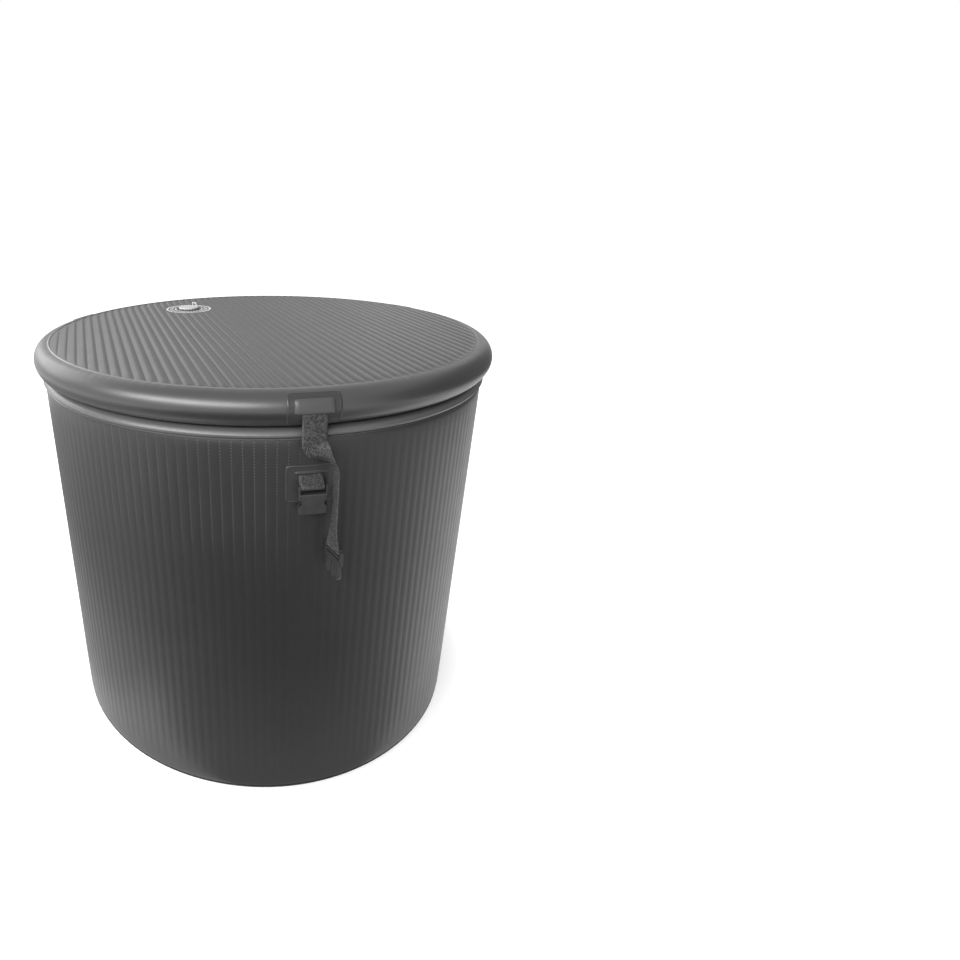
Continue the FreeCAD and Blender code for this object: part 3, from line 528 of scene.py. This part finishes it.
seam_azimuth = 207.0
tape_half_width = 0.03
tape_thickness = 0.0011
tape_corner = 24
tape_counts = (81, 41)
tape_low, tape_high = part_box("wall_seam_tape_outer")
tape_half = (tape_high.z - tape_low.z) / 2
tape_middle = (tape_high.z + tape_low.z) / 2
outer_face = wall_middle + skin_roll
inner_face = wall_middle - skin_roll
outer_tape = patch("outer_seam_tape", tape_half_width, tape_half, tape_thickness,
                   on_wall(seam_azimuth, tape_middle, outer_face), tape_corner, tape_counts,
                   rib_show(seam_azimuth, outer_face, 0.5))
inner_tape = patch("inner_seam_tape", tape_half_width, tape_half, tape_thickness,
                   on_wall(seam_azimuth, tape_middle, inner_face, -1), tape_corner, tape_counts)
stand_in(outer_tape, rim_finish, "rim_sheet", "tub", "wall_seam_tape_outer")
stand_in(inner_tape, inner_lifted_finish, "rim_sheet", "tub", "wall_seam_tape_inner")


# Drain: a flanged plastic bush through the wall, clamped between two soft gaskets, with a ribbed screw cap.
# The pieces are injection moulded, so their edges are rounded.


def moulded_finish(name, tone, roughness):
    """Moulded plastic: an even grey with a fine spark-eroded grain."""
    material = bpy.data.materials.new(name)
    material.use_nodes = True
    tree = material.node_tree
    shader = tree.nodes["Principled BSDF"]
    place = put(tree, "TexCoord").outputs["Object"]
    fine = noise(tree, place, 1600.0)
    cloud = noise(tree, place, 60.0, 3.0)
    tree.links.new(spread(tree, cloud, 0.3, 0.7, 0.92 * tone, 1.08 * tone), shader.inputs["Base Color"])
    tree.links.new(spread(tree, cloud, 0.3, 0.7, roughness, 1.2 * roughness), shader.inputs["Roughness"])
    bump = put(tree, "Bump", (("Height", fine), ("Strength", 0.15), ("Distance", 0.0002)))
    tree.links.new(bump.outputs["Normal"], shader.inputs["Normal"])
    return material


def moulded(node, body, material, slot, edge):
    """Copy of a CAD node with its triangles joined into faces and its sharp edges rounded by a width."""
    shell = bmesh.new()
    shell.from_mesh(frame["nodes"][node].data)
    bmesh.ops.remove_doubles(shell, verts=shell.verts, dist=1e-6)
    bmesh.ops.dissolve_limit(shell, angle_limit=math.radians(0.5), verts=shell.verts, edges=shell.edges)
    mesh = bpy.data.meshes.new(node + "_moulded")
    shell.to_mesh(mesh)
    shell.free()
    mesh.polygons.foreach_set("use_smooth", np.ones(len(mesh.polygons), bool))
    obj = bpy.data.objects.new(node + "_moulded", mesh)
    bpy.context.scene.collection.objects.link(obj)
    rounding = obj.modifiers.new("Rounded edges", "BEVEL")
    rounding.width = edge
    rounding.segments = 2
    rounding.limit_method = "ANGLE"
    rounding.angle_limit = math.radians(35)
    even = obj.modifiers.new("Even faces", "WEIGHTED_NORMAL")
    even.weight = 100
    even.keep_sharp = True
    return stand_in(obj, material, slot, body, node)


drain_finish = moulded_finish("Drain plastic", 0.04, 0.38)
moulded("drain_body", "tub", drain_finish, "drain_plastic", 0.0005)
moulded("drain_clamp", "tub", drain_finish, "drain_plastic", 0.0006)
moulded("drain_cap", "drain_cap", drain_finish, "drain_plastic", 0.0005)
gasket_finish = sheet_finish("Gasket", 0.02, 0.6)
dress(frame["nodes"]["drain_inner_gasket"], gasket_finish)
dress(frame["nodes"]["drain_outer_gasket"], gasket_finish)


# Wall valve: a threaded plastic body clamped through the outer skin, with a gasket, a nut behind the skin,
# a spring-loaded plunger that holds the air in, and a cap with a pull loop.
valve_finish = moulded_finish("Valve plastic", 0.03, 0.4)
cap_finish = moulded_finish("Valve cap", 0.7, 0.4)
spring_finish = bpy.data.materials.new("Spring wire")
spring_finish.use_nodes = True
spring_tree = spring_finish.node_tree
spring_shader = spring_tree.nodes["Principled BSDF"]
spring_shader.inputs["Metallic"].default_value = 1.0
spring_shader.inputs["Roughness"].default_value = 0.3
spring_place = put(spring_tree, "TexCoord").outputs["Object"]
spring_draw = noise(spring_tree, spring_place, 700.0)
spring_tone = spread(spring_tree, spring_draw, 0.3, 0.7, 0.5, 0.62)
spring_tree.links.new(spring_tone, spring_shader.inputs["Base Color"])


def valve(name, holder):
    """Dresses the six pieces of one air valve.
    """
    moulded(name + "_body", holder, valve_finish, "valve_plastic", 0.0005)
    moulded(name + "_nut", holder, valve_finish, "valve_plastic", 0.0004)
    moulded(name + "_cap", name + "_cap", cap_finish, "cap_plastic", 0.0004)
    moulded(name + "_plunger", name + "_plunger", valve_finish, "valve_plastic", 0.0003)
    dress(frame["nodes"][name + "_gasket"], gasket_finish)
    spring = dress(frame["nodes"][name + "_spring"], spring_finish)
    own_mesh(spring)


valve("wall_valve", "tub")


# Anchor patches: rounded patches of coated sheet welded to the wall under each strap. The webbing of the
# buckle comes out of a slit in each patch, under a raised lip.
strap_azimuths = (0.0, 120.0, 240.0)
joint_at = {joint["name"]: np.array(joint.get("pos_m", (0, 0, 0))) for joint in frame["joints"]}
bar_radius = -joint_at["socket_flip_1"][1]
bar_height = joint_at["socket_flip_1"][2]
anchor_low, anchor_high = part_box("anchor_patch_1")
anchor_half = (anchor_high.z - anchor_low.z) / 2
anchor_middle = (anchor_high.z + anchor_low.z) / 2
slit_height = bar_height + 0.014
anchor_half_width = 0.036
anchor_thickness = 0.0016
bead_height = 0.0004
lip_height = 0.0020
lip_rise = 0.0030
lip_width = 0.0012
patch_finish = sheet_finish("Welded patch", 0.035, 0.36)


def anchor_relief(x, y, ring):
    """Weld bead just inside the outline, and a lip over the slit."""
    bead = bead_height * np.exp(-((ring - 0.93) / 0.02) ** 2)
    lip = lip_height * np.exp(-((y - (slit_height - anchor_middle) - lip_rise) / lip_width) ** 2)
    return bead + lip * ease(0.024 - np.abs(x), 0.0, 0.004)


for number, azimuth in enumerate(strap_azimuths, 1):
    anchor = patch(f"anchor_sheet_{number}", anchor_half_width, anchor_half, anchor_thickness,
                   on_wall(azimuth, anchor_middle, outer_face), 14, (61, 81), anchor_relief)
    stand_in(anchor, patch_finish, "patch_sheet", "tub", f"anchor_patch_{number}")


# Anchor loops: flat woven webbing folded round each socket's bar, with both ends through the slit and sewn
# behind the patch. The weave is a herringbone with a lighter thread.
webbing_width = 0.035
webbing_thickness = 0.0015
weave_column = 0.00583
weave_pitch = 0.0021
weave_warp = 0.0014
webbing_grain = bpy.data.node_groups.new("Webbing weave", "ShaderNodeTree")
for socket in ("Thread", "Height"):
    webbing_grain.interface.new_socket(socket, in_out="OUTPUT", socket_type="NodeSocketFloat")
weave_flat = put(webbing_grain, "SeparateXYZ", ((0, put(webbing_grain, "TexCoord").outputs["UV"]),))
weave_side = work(webbing_grain, "PINGPONG", weave_flat.outputs["X"], weave_column)
weave_slant = work(webbing_grain, "MULTIPLY", weave_side, 0.9)
weave_lean = work(webbing_grain, "ADD", weave_slant, weave_flat.outputs["Y"])
weave_wave = work(webbing_grain, "SINE", work(webbing_grain, "MULTIPLY", weave_lean,
                                              2 * math.pi / weave_pitch))
weave_cross = work(webbing_grain, "SINE", work(webbing_grain, "MULTIPLY", weave_flat.outputs["X"],
                                               2 * math.pi / weave_warp))
weave_height = work(webbing_grain, "ADD", weave_wave, work(webbing_grain, "MULTIPLY", weave_cross, 0.4))
weave_noise = noise(webbing_grain, put(webbing_grain, "TexCoord").outputs["Object"], 420.0)
weave_light = work(webbing_grain, "MULTIPLY", spread(webbing_grain, weave_height, 0.1, 1.2),
                   spread(webbing_grain, weave_noise, 0.35, 0.65, 0.3, 1.0))
weave_end = webbing_grain.nodes.new("NodeGroupOutput")
webbing_grain.links.new(weave_light, weave_end.inputs["Thread"])
webbing_grain.links.new(spread(webbing_grain, weave_height, -1.4, 1.4), weave_end.inputs["Height"])
webbing_finish = bpy.data.materials.new("Webbing")
webbing_finish.use_nodes = True
webbing_tree = webbing_finish.node_tree
webbing_shader = webbing_tree.nodes["Principled BSDF"]
webbing_group = put(webbing_tree, "Group", node_tree=webbing_grain)
webbing_flat = put(webbing_tree, "SeparateXYZ", ((0, put(webbing_tree, "TexCoord").outputs["UV"]),))
webbing_side = apart(webbing_tree, webbing_flat.outputs["X"], webbing_width / 2)
selvage = spread(webbing_tree, webbing_side, webbing_width / 2 - 0.003, webbing_width / 2 - 0.0015, 0.0, 0.02)
thread_tone = spread(webbing_tree, webbing_group.outputs["Thread"], 0.0, 1.0, 0.010, 0.26)
webbing_tree.links.new(work(webbing_tree, "ADD", selvage, thread_tone), webbing_shader.inputs["Base Color"])
webbing_tree.links.new(spread(webbing_tree, webbing_group.outputs["Thread"], 0.0, 1.0, 0.75, 0.5),
                       webbing_shader.inputs["Roughness"])
webbing_bump = put(webbing_tree, "Bump", (("Height", webbing_group.outputs["Height"]), ("Strength", 0.6),
                                          ("Distance", 0.0004)))
webbing_tree.links.new(webbing_bump.outputs["Normal"], webbing_shader.inputs["Normal"])


def webbing(name, middle, wide):
    """Flat webbing along a path: a flat oval section across the width, turned to the wide direction.

    The section's thickness falls off only at its two edges, and both ends close on their middle point.
    """
    along = np.gradient(middle, axis=0)
    along /= np.linalg.norm(along, axis=1, keepdims=True)
    wide = wide - along * (wide * along).sum(1, keepdims=True)
    wide /= np.linalg.norm(wide, axis=1, keepdims=True)
    thick = np.cross(along, wide)
    side = np.linspace(-1, 1, 15)
    edge = np.sqrt(np.clip(1 - np.abs(side) ** 10, 0, 1))
    x = np.concatenate([side, side[-2::-1]]) * webbing_width / 2
    y = np.concatenate([edge, -edge[-2::-1]]) * webbing_thickness / 2
    grid = middle[:, None] + wide[:, None] * x[None, :, None] + thick[:, None] * y[None, :, None]
    ends = np.broadcast_to(middle[[0, -1], None], (2,) + grid.shape[1:])
    grid = np.concatenate([ends[:1], grid, ends[1:]])
    length = np.concatenate([[0], np.cumsum(np.linalg.norm(np.diff(middle, axis=0), axis=1))])
    length = np.concatenate([length[:1], length, length[-1:]])
    flat = np.stack(np.broadcast_arrays(x + webbing_width / 2, length[:, None]), -1)
    return surface(name, grid, flat)


def carried(points, azimuth):
    """Points made at the front, turned round the tub to an azimuth."""
    turn = math.radians(azimuth)
    spin = np.array([[math.cos(turn), math.sin(turn), 0], [-math.sin(turn), math.cos(turn), 0], [0, 0, 1]])
    return points @ spin


bar_half = 0.0020
loop_gap = 0.0004
tail_apart = 0.0009
tail_depth = 0.001
loop_middle = bar_half + loop_gap + webbing_thickness / 2
slit = np.array([0, -outer_face, slit_height])
bar = np.array([0, -bar_radius, bar_height])
heading = (bar - slit) / np.linalg.norm(bar - slit)
above = np.array([0, -heading[2], heading[1]])
above = above if above[2] > 0 else -above
loop_turn = np.radians(np.linspace(90, -90, 25))
loop_bend = bar + loop_middle * (np.sin(loop_turn)[:, None] * above + np.cos(loop_turn)[:, None] * heading)
loop_run = np.linspace(0, 1, 9)[:-1, None]
tail_out = slit + tail_apart * above - tail_depth * heading
tail_in = slit - tail_apart * above - tail_depth * heading
loop_path = np.concatenate([tail_out + loop_run * (loop_bend[0] - tail_out), loop_bend,
                            (loop_bend[-1] + (1 - loop_run[::-1]) * (tail_in - loop_bend[-1]))])
loop_wide = np.broadcast_to(np.array([1.0, 0, 0]), loop_path.shape)
for number, azimuth in enumerate(strap_azimuths, 1):
    loop = webbing(f"webbing_loop_{number}", carried(loop_path, azimuth), carried(loop_wide, azimuth))
    stand_in(loop, webbing_finish, "webbing", "tub", f"anchor_loop_{number}")


# Buckle sockets: the moulded female halves, each hanging by its bar in a webbing loop.
buckle_finish = moulded_finish("Buckle plastic", 0.04, 0.32)
for number in (1, 2, 3):
    moulded(f"buckle_socket_{number}", f"socket_{number}", buckle_finish, "buckle_plastic", 0.0006)


# Lid skins: two discs of ribbed drop-stitch sheet, tied by threads inside. The ribs run straight across
# the disc, rounded off at the edge seam, and a printed ring of ticks goes round the valve on the top.
lid_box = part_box("lid_edge_strip")
lid_top = lid_box[1].z
lid_bottom = lid_box[0].z
lid_middle = 0.3875
lid_seam = lid_middle - 0.0035
lid_rib_pitch = 0.01525
lid_rib_depth = 0.0027
lid_crown = 0.0008
rib_end = 0.016
flat_round_valve = (0.050, 0.062)
tick_count = 36
lid_rib_turn = math.radians(95.9)
rib_way = np.array([math.cos(lid_rib_turn), math.sin(lid_rib_turn)])
rib_across = np.array([math.sin(lid_rib_turn), -math.cos(lid_rib_turn)])
valve_low, valve_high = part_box("lid_valve_body")
valve_at = np.array([(valve_low.x + valve_high.x) / 2, (valve_low.y + valve_high.y) / 2])


def lid_skin(name, side, columns, rows, depth):
    """Ribbed disc: straight chords along the ribs, side by side, with the ribs' height across the chords.

    The ribs round off towards the seam like the ends of a pillow, and flatten under the valve.
    """
    across = np.sin(np.linspace(-np.pi / 2, np.pi / 2, columns)) * 0.15 + np.linspace(-1, 1, columns) * 0.85
    across = across * lid_seam
    chord = np.sqrt(np.clip(lid_seam ** 2 - across ** 2, 0, None))
    run = np.sin(np.linspace(-np.pi / 2, np.pi / 2, rows)) * 0.7 + np.linspace(-1, 1, rows) * 0.3
    along = run[:, None] * chord
    x = across * rib_across[0] + along * rib_way[0]
    y = across * rib_across[1] + along * rib_way[1]
    inset = np.clip((lid_seam - np.hypot(x, y)) / rib_end, 0, 1)
    fade = np.sqrt(np.clip(1 - (1 - inset) ** 2, 0, 1))
    if side > 0:
        fade = fade * ease(np.hypot(x - valve_at[0], y - valve_at[1]), *flat_round_valve)
    phase = (across - valve_at @ rib_across) / lid_rib_pitch + 0.5
    height = depth * (ribs(phase) ** 0.75 - 0.7) * fade + lid_crown * inset
    face = lid_top if side > 0 else lid_bottom
    z = face + side * height
    grid = np.stack([x, y, z], -1)
    flat = np.stack(np.broadcast_arrays(across, along), -1)
    if side < 0:
        grid, flat = grid[::-1], flat[::-1]
    return thickened(surface(name, grid, flat, closed=False))


lid_finish = sheet_finish("Lid sheet", 0.03, 0.3, 0.06)
lid_tree = lid_finish.node_tree
lid_place = put(lid_tree, "SeparateXYZ", ((0, put(lid_tree, "TexCoord").outputs["Object"]),))
from_valve_x = work(lid_tree, "SUBTRACT", lid_place.outputs["X"], float(valve_at[0]))
from_valve_y = work(lid_tree, "SUBTRACT", lid_place.outputs["Y"], float(valve_at[1]))
square_x = work(lid_tree, "MULTIPLY", from_valve_x, from_valve_x)
square_y = work(lid_tree, "MULTIPLY", from_valve_y, from_valve_y)
from_valve = work(lid_tree, "SQRT", work(lid_tree, "ADD", square_x, square_y))


def print_ring(middle, half):
    """Mask of a printed ring round the valve."""
    return spread(lid_tree, apart(lid_tree, from_valve, middle), half, 0.7 * half)


tick_step = 2 * math.pi / tick_count
tick_turn = work(lid_tree, "DIVIDE", work(lid_tree, "ARCTAN2", from_valve_y, from_valve_x), tick_step)
tick_off = apart(lid_tree, work(lid_tree, "FRACT", tick_turn), 0.5)
ticks = work(lid_tree, "MULTIPLY", spread(lid_tree, tick_off, 0.28, 0.24), print_ring(0.0374, 0.0046))
both_rings = work(lid_tree, "MAXIMUM", print_ring(0.0284, 0.0022), print_ring(0.0465, 0.0027))
printed = work(lid_tree, "MAXIMUM", ticks, both_rings)
above_lid = spread(lid_tree, lid_place.outputs["Z"], lid_top - 0.01, lid_top - 0.005)
printed = work(lid_tree, "MULTIPLY", printed, above_lid)
lid_shader = lid_tree.nodes["Principled BSDF"]
lid_tone = lid_shader.inputs["Base Color"].links[0].from_socket
lid_tree.links.new(work(lid_tree, "MAXIMUM", lid_tone, work(lid_tree, "MULTIPLY", printed, 0.9)),
                   lid_shader.inputs["Base Color"])
top_skin = lid_skin("lid_top", 1, 538, 90, lid_rib_depth)
bottom_skin = lid_skin("lid_underside", -1, 304, 48, 0.0)
stand_in(top_skin, lid_finish, "ribbed_sheet", "lid", "lid_top_skin")
underside_finish = sheet_finish("Lid underside", 0.03, 0.55)
stand_in(bottom_skin, underside_finish, "ribbed_sheet", "lid", "lid_bottom_skin")
dress(frame["nodes"]["lid_threads"], thread_finish)


# Lid edge strip: a smooth half-round band of coated sheet round the lid, lapped on both skins, with a thin
# raised weld along the seam.
lid_edge = (lid_middle, (lid_top + lid_bottom) / 2)
edge_lap = np.array([[lid_seam - 0.0004, lid_bottom - 0.0003], [lid_seam + 0.0018, lid_bottom - 0.0005]])
edge_face = curve(lid_edge, roll, -90, 90, 41)
edge_seam = curve((lid_seam + 0.0010, lid_top), 0.0011, 20, 180, 9)
edge_back = curve(lid_edge, roll - strip_back, 90, -90, 13)
edge_profile = np.concatenate([edge_lap, edge_face, edge_seam, edge_back, edge_lap[:1]])
edge_turn = np.linspace(0, 2 * np.pi, 721)
edge_share = np.concatenate([np.zeros(2), ease(np.linspace(0, 1, len(edge_face)), 0.75, 1.0),
                             np.zeros(len(edge_seam) + len(edge_back) + 1)])
edge_pucker = 0.0003
edge_swell = edge_share[:, None] * edge_pucker * waves(edge_turn, (61, 83, 97, 139, 160), 13)
lid_rim = band("lid_rim", edge_profile, 720, edge_swell)
edge_finish = sheet_finish("Lid edge strip", 0.022, 0.38, 0.05, 1.0)
edge_tree = edge_finish.node_tree
edge_place = put(edge_tree, "TexCoord").outputs["Object"]
edge_flat = put(edge_tree, "VectorMath", ((0, edge_place), (1, (1, 1, 0))), operation="MULTIPLY").outputs[0]
edge_radius = put(edge_tree, "VectorMath", ((0, edge_flat),), operation="LENGTH").outputs["Value"]
# Painted highlight: the tone is made paler in a thin line along the weld at the seam, where the seam catches
# the light.
weld_highlight = spread(edge_tree, apart(edge_tree, edge_radius, lid_seam + 0.001), 0.0030, 0.0022, 0.0, 0.12)
edge_shader = edge_tree.nodes["Principled BSDF"]
edge_tone = edge_shader.inputs["Base Color"].links[0].from_socket
edge_tree.links.new(work(edge_tree, "ADD", edge_tone, weld_highlight), edge_shader.inputs["Base Color"])
stand_in(lid_rim, edge_finish, "rim_sheet", "lid", "lid_edge_strip")


# Lid valve: the same air valve as in the wall, through the lid's top skin.
valve("lid_valve", "lid")


# Strap patches and pockets: each strap's end is held in a pocket of coated sheet, welded on a wider patch
# that wraps the lid's half-round edge. The welds show as thin raised lines.


def on_lid_edge(azimuth, middle, face):
    """Way to lay a patch on the lid's half-round edge: x runs round the lid and y over the edge."""
    def lay(x, y, rise):
        over = math.radians(middle) + y / face
        turn = math.radians(azimuth) + x / (lid_middle + roll)
        radius = lid_edge[0] + (face + rise) * np.cos(over)
        height = lid_edge[1] + (face + rise) * np.sin(over)
        return np.stack([radius * np.sin(turn), -radius * np.cos(turn), height], -1)
    return lay


def patch_relief(x, y, ring):
    """Weld bead just inside the outline."""
    return bead_height * np.exp(-((ring - 0.94) / 0.018) ** 2)


# The pocket has a paler tone than the patch under it, though it is the same coated sheet: painted light for
# the sky its upturned face reflects.
pocket_lit_finish = sheet_finish("Strap pocket painted light", 0.07, 0.4)
strap_sheet_half = (0.0375, math.radians(57) * roll)
strap_sheet_thickness = 0.0013
strap_sheet_middle = 7
pocket_half = (0.0275, math.radians(24) * roll)
pocket_thickness = 0.0030
pocket_middle = 17
pocket_face = roll + 0.0011
for number, azimuth in enumerate(strap_azimuths, 1):
    under = patch(f"strap_sheet_{number}", *strap_sheet_half, strap_sheet_thickness,
                  on_lid_edge(azimuth, strap_sheet_middle, roll), 14, (61, 61), patch_relief)
    pocket = patch(f"strap_holder_{number}", *pocket_half, pocket_thickness,
                   on_lid_edge(azimuth, pocket_middle, pocket_face), 10, (61, 61))
    stand_in(under, patch_finish, "patch_sheet", "lid", f"strap_patch_{number}")
    stand_in(pocket, pocket_lit_finish, "patch_sheet", "lid", f"strap_pocket_{number}")


# Straps: flat woven webbing that hangs from its pocket, turns edge-on beside the buckle and ends in a loop
# sewn round the bar of the clip.
strap_top = joint_at["strap_swing_1"]
clip_bar = joint_at["clip_pivot_1"]
strap_length = 0.199
strap_flat = 0.038
strap_twist = 0.038
strap_untwist = 0.040
strap_tuck = 0.012
clip_turn = math.radians(75)
aside = np.array([math.sin(clip_turn), math.cos(clip_turn), 0])
strap_end = clip_bar - aside * loop_middle
fall = np.linspace(-strap_tuck, strap_length, 102)
twist = ease(fall, strap_flat, strap_flat + strap_twist)
untwist = ease(fall, strap_length - strap_untwist, strap_length)
turned = math.pi / 2 * twist - (math.pi / 2 - clip_turn) * untwist
strap_head = strap_top[2] + 0.0008
tucked = np.minimum(fall, 0)
strap_out = strap_top[1] + (strap_end[1] - strap_top[1]) * twist - tucked * 0.25
strap_path = np.stack([strap_end[0] * twist, strap_out, strap_head - fall], -1)
strap_wide = np.stack([np.cos(turned), -np.sin(turned), 0 * turned], -1)
loop_round = np.radians(np.linspace(0, 330, 40))[1:]
loop_out = np.cos(loop_round)[:, None] * aside + np.sin(loop_round)[:, None] * [0, 0, 1]
strap_loop = clip_bar - loop_middle * loop_out
strap_path = np.concatenate([strap_path, strap_loop])
strap_wide = np.concatenate([strap_wide, np.broadcast_to(strap_wide[-1], strap_loop.shape)])
for number, azimuth in enumerate(strap_azimuths, 1):
    strap = webbing(f"webbing_strap_{number}", carried(strap_path, azimuth), carried(strap_wide, azimuth))
    dress(strap, webbing_finish)
    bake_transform(strap)
    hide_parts(f"strap_{number}")


# Buckle clips: the moulded male halves with a ladder plate, a tongue and two hooked prongs.
for number in (1, 2, 3):
    moulded(f"buckle_clip_{number}", f"clip_{number}", buckle_finish, "buckle_plastic", 0.0005)


# Studio: a pale floor that keeps the bath's soft shadow, a white surround, a large soft lamp at the front
# left and two weak ones behind. Five grey cards keep the bath from mirroring the white all round.
scene = bpy.context.scene
scene.view_settings.view_transform = "Standard"


def plane(name, corner, first, second):
    """Flat rectangle from a corner along two sides."""
    corner, first, second = np.array(corner, float), np.array(first, float), np.array(second, float)
    near = np.stack([corner, corner + first])
    grid = np.stack([near, near + second])
    flat = np.array([[[0.0, 0], [1, 0]], [[0, 1], [1, 1]]])
    return surface(name, grid, flat, closed=False)


def seen(tree):
    """Socket that is 1 for rays of the camera, of reflections and of see-through faces, and 0 for light."""
    path = put(tree, "LightPath")
    mirrored = work(tree, "MAXIMUM", path.outputs["Is Glossy Ray"], path.outputs["Is Transmission Ray"])
    return work(tree, "MAXIMUM", path.outputs["Is Camera Ray"], mirrored)


floor = plane("studio_floor", (-30, -30, 0), (60, 0, 0), (0, 60, 0))
floor_finish = bpy.data.materials.new("Studio floor")
floor_finish.use_nodes = True
floor_tree = floor_finish.node_tree
floor_shader = floor_tree.nodes["Principled BSDF"]
floor_shader.inputs["Base Color"].default_value = (0.8, 0.8, 0.8, 1)
floor_shader.inputs["Roughness"].default_value = 0.9
floor_shader.inputs["Specular IOR Level"].default_value = 0.0
floor_shader.inputs["Emission Color"].default_value = (1, 1, 1, 1)
floor_far = put(floor_tree, "VectorMath", ((0, put(floor_tree, "TexCoord").outputs["Object"]),),
                operation="LENGTH").outputs["Value"]
floor_glow = spread(floor_tree, floor_far, 0.40, 0.56, 0.6, 1.0)
floor_white = work(floor_tree, "MULTIPLY", seen(floor_tree), floor_glow)
floor_tree.links.new(floor_white, floor_shader.inputs["Emission Strength"])
floor.data.materials.append(floor_finish)


def card(name, corner, first, second, level, rises):
    """Glowing card that only reflections show: a grey level, and more of it where a coordinate rises."""
    obj = plane(name, corner, first, second)
    material = bpy.data.materials.new(name)
    material.use_nodes = True
    tree = material.node_tree
    shader = tree.nodes["Principled BSDF"]
    shader.inputs["Base Color"].default_value = (0, 0, 0, 1)
    shader.inputs["Specular IOR Level"].default_value = 0.0
    shader.inputs["Emission Color"].default_value = (1, 1, 1, 1)
    place = put(tree, "SeparateXYZ", ((0, put(tree, "TexCoord").outputs["Object"]),))
    glow = level
    for axis, low, high, gain in rises:
        glow = work(tree, "ADD", glow, spread(tree, place.outputs[axis], low, high, 0.0, gain))
    tree.links.new(glow, shader.inputs["Emission Strength"])
    obj.data.materials.append(material)
    obj.visible_camera = False
    obj.visible_diffuse = False
    obj.visible_shadow = False


card("front_card", (-1.7, -2.6, 0.003), (3.2, 0, 0), (0, 2.22, 0), 0.05,
     (("X", 0.0, 1.0, 0.65), ("Y", -0.85, -0.42, 0.45)))
card("left_card", (-2.0, -0.38, 0.003), (1.55, 0, 0), (0, 2.2, 0), 0.55, (("X", -1.0, -0.5, 0.5),))
card("right_card", (1.7, -1.8, 0.2), (0, 3.0, 0), (0, 0, 1.8), 0.28, (("Z", 0.2, 2.0, 0.1),))
card("back_card", (-0.4, 2.6, 0.3), (1.5, 0, 0), (0, 0, 2.2), 0.5,
     (("Z", 1.1, 1.9, 0.5), ("X", 0.0, 1.1, 0.2)))
card("far_card", (-1.3, 2.6, 0.3), (0.9, 0, 0), (0, 0, 1.05), 0.35, (("Z", 1.0, 1.28, 0.6),))
world = bpy.data.worlds.new("Studio")
scene.world = world
world.use_nodes = True
world_tree = world.node_tree
world_back = world_tree.nodes["Background"]
world_back.inputs["Color"].default_value = (1, 1, 1, 1)
world_level = spread(world_tree, seen(world_tree), 0.0, 1.0, 0.3, 1.0)
world_tree.links.new(world_level, world_back.inputs["Strength"])


def soft_lamp(name, place, pitch, turn, wide, tall, power):
    """Area lamp, tilted up from straight down and turned about the vertical, in degrees."""
    lamp = bpy.data.lights.new(name, "AREA")
    lamp.shape = "RECTANGLE"
    lamp.size = wide
    lamp.size_y = tall
    lamp.energy = power
    stand = bpy.data.objects.new(name, lamp)
    stand.location = place
    stand.rotation_euler = (math.radians(pitch), 0, math.radians(turn))
    scene.collection.objects.link(stand)


soft_lamp("Key lamp", (-2.2, -2.3, 2.5), 58, -46, 4.2, 1.1, 150)
soft_lamp("Left lamp", (-2.1, 1.7, 1.7), 70, -130, 2.0, 1.6, 22)
soft_lamp("Back lamp", (-1.1, 2.7, 1.9), 70, -158, 1.8, 1.8, 6)

# Camera: where the photograph was taken from, on the closed view at its left.
camera_data = bpy.data.cameras.new("Camera")
camera_data.sensor_width = 36.0
camera_data.lens = 23.18
camera_data.shift_x = 0.225
camera_data.shift_y = -0.0099
camera_data.clip_start = 0.05
camera_data.clip_end = 60.0
camera = bpy.data.objects.new("Camera", camera_data)
camera.location = (-0.1915, -1.1537, 0.9896)
camera.rotation_euler = (1.1431, 0.0048, -0.1674)
scene.collection.objects.link(camera)
scene.camera = camera
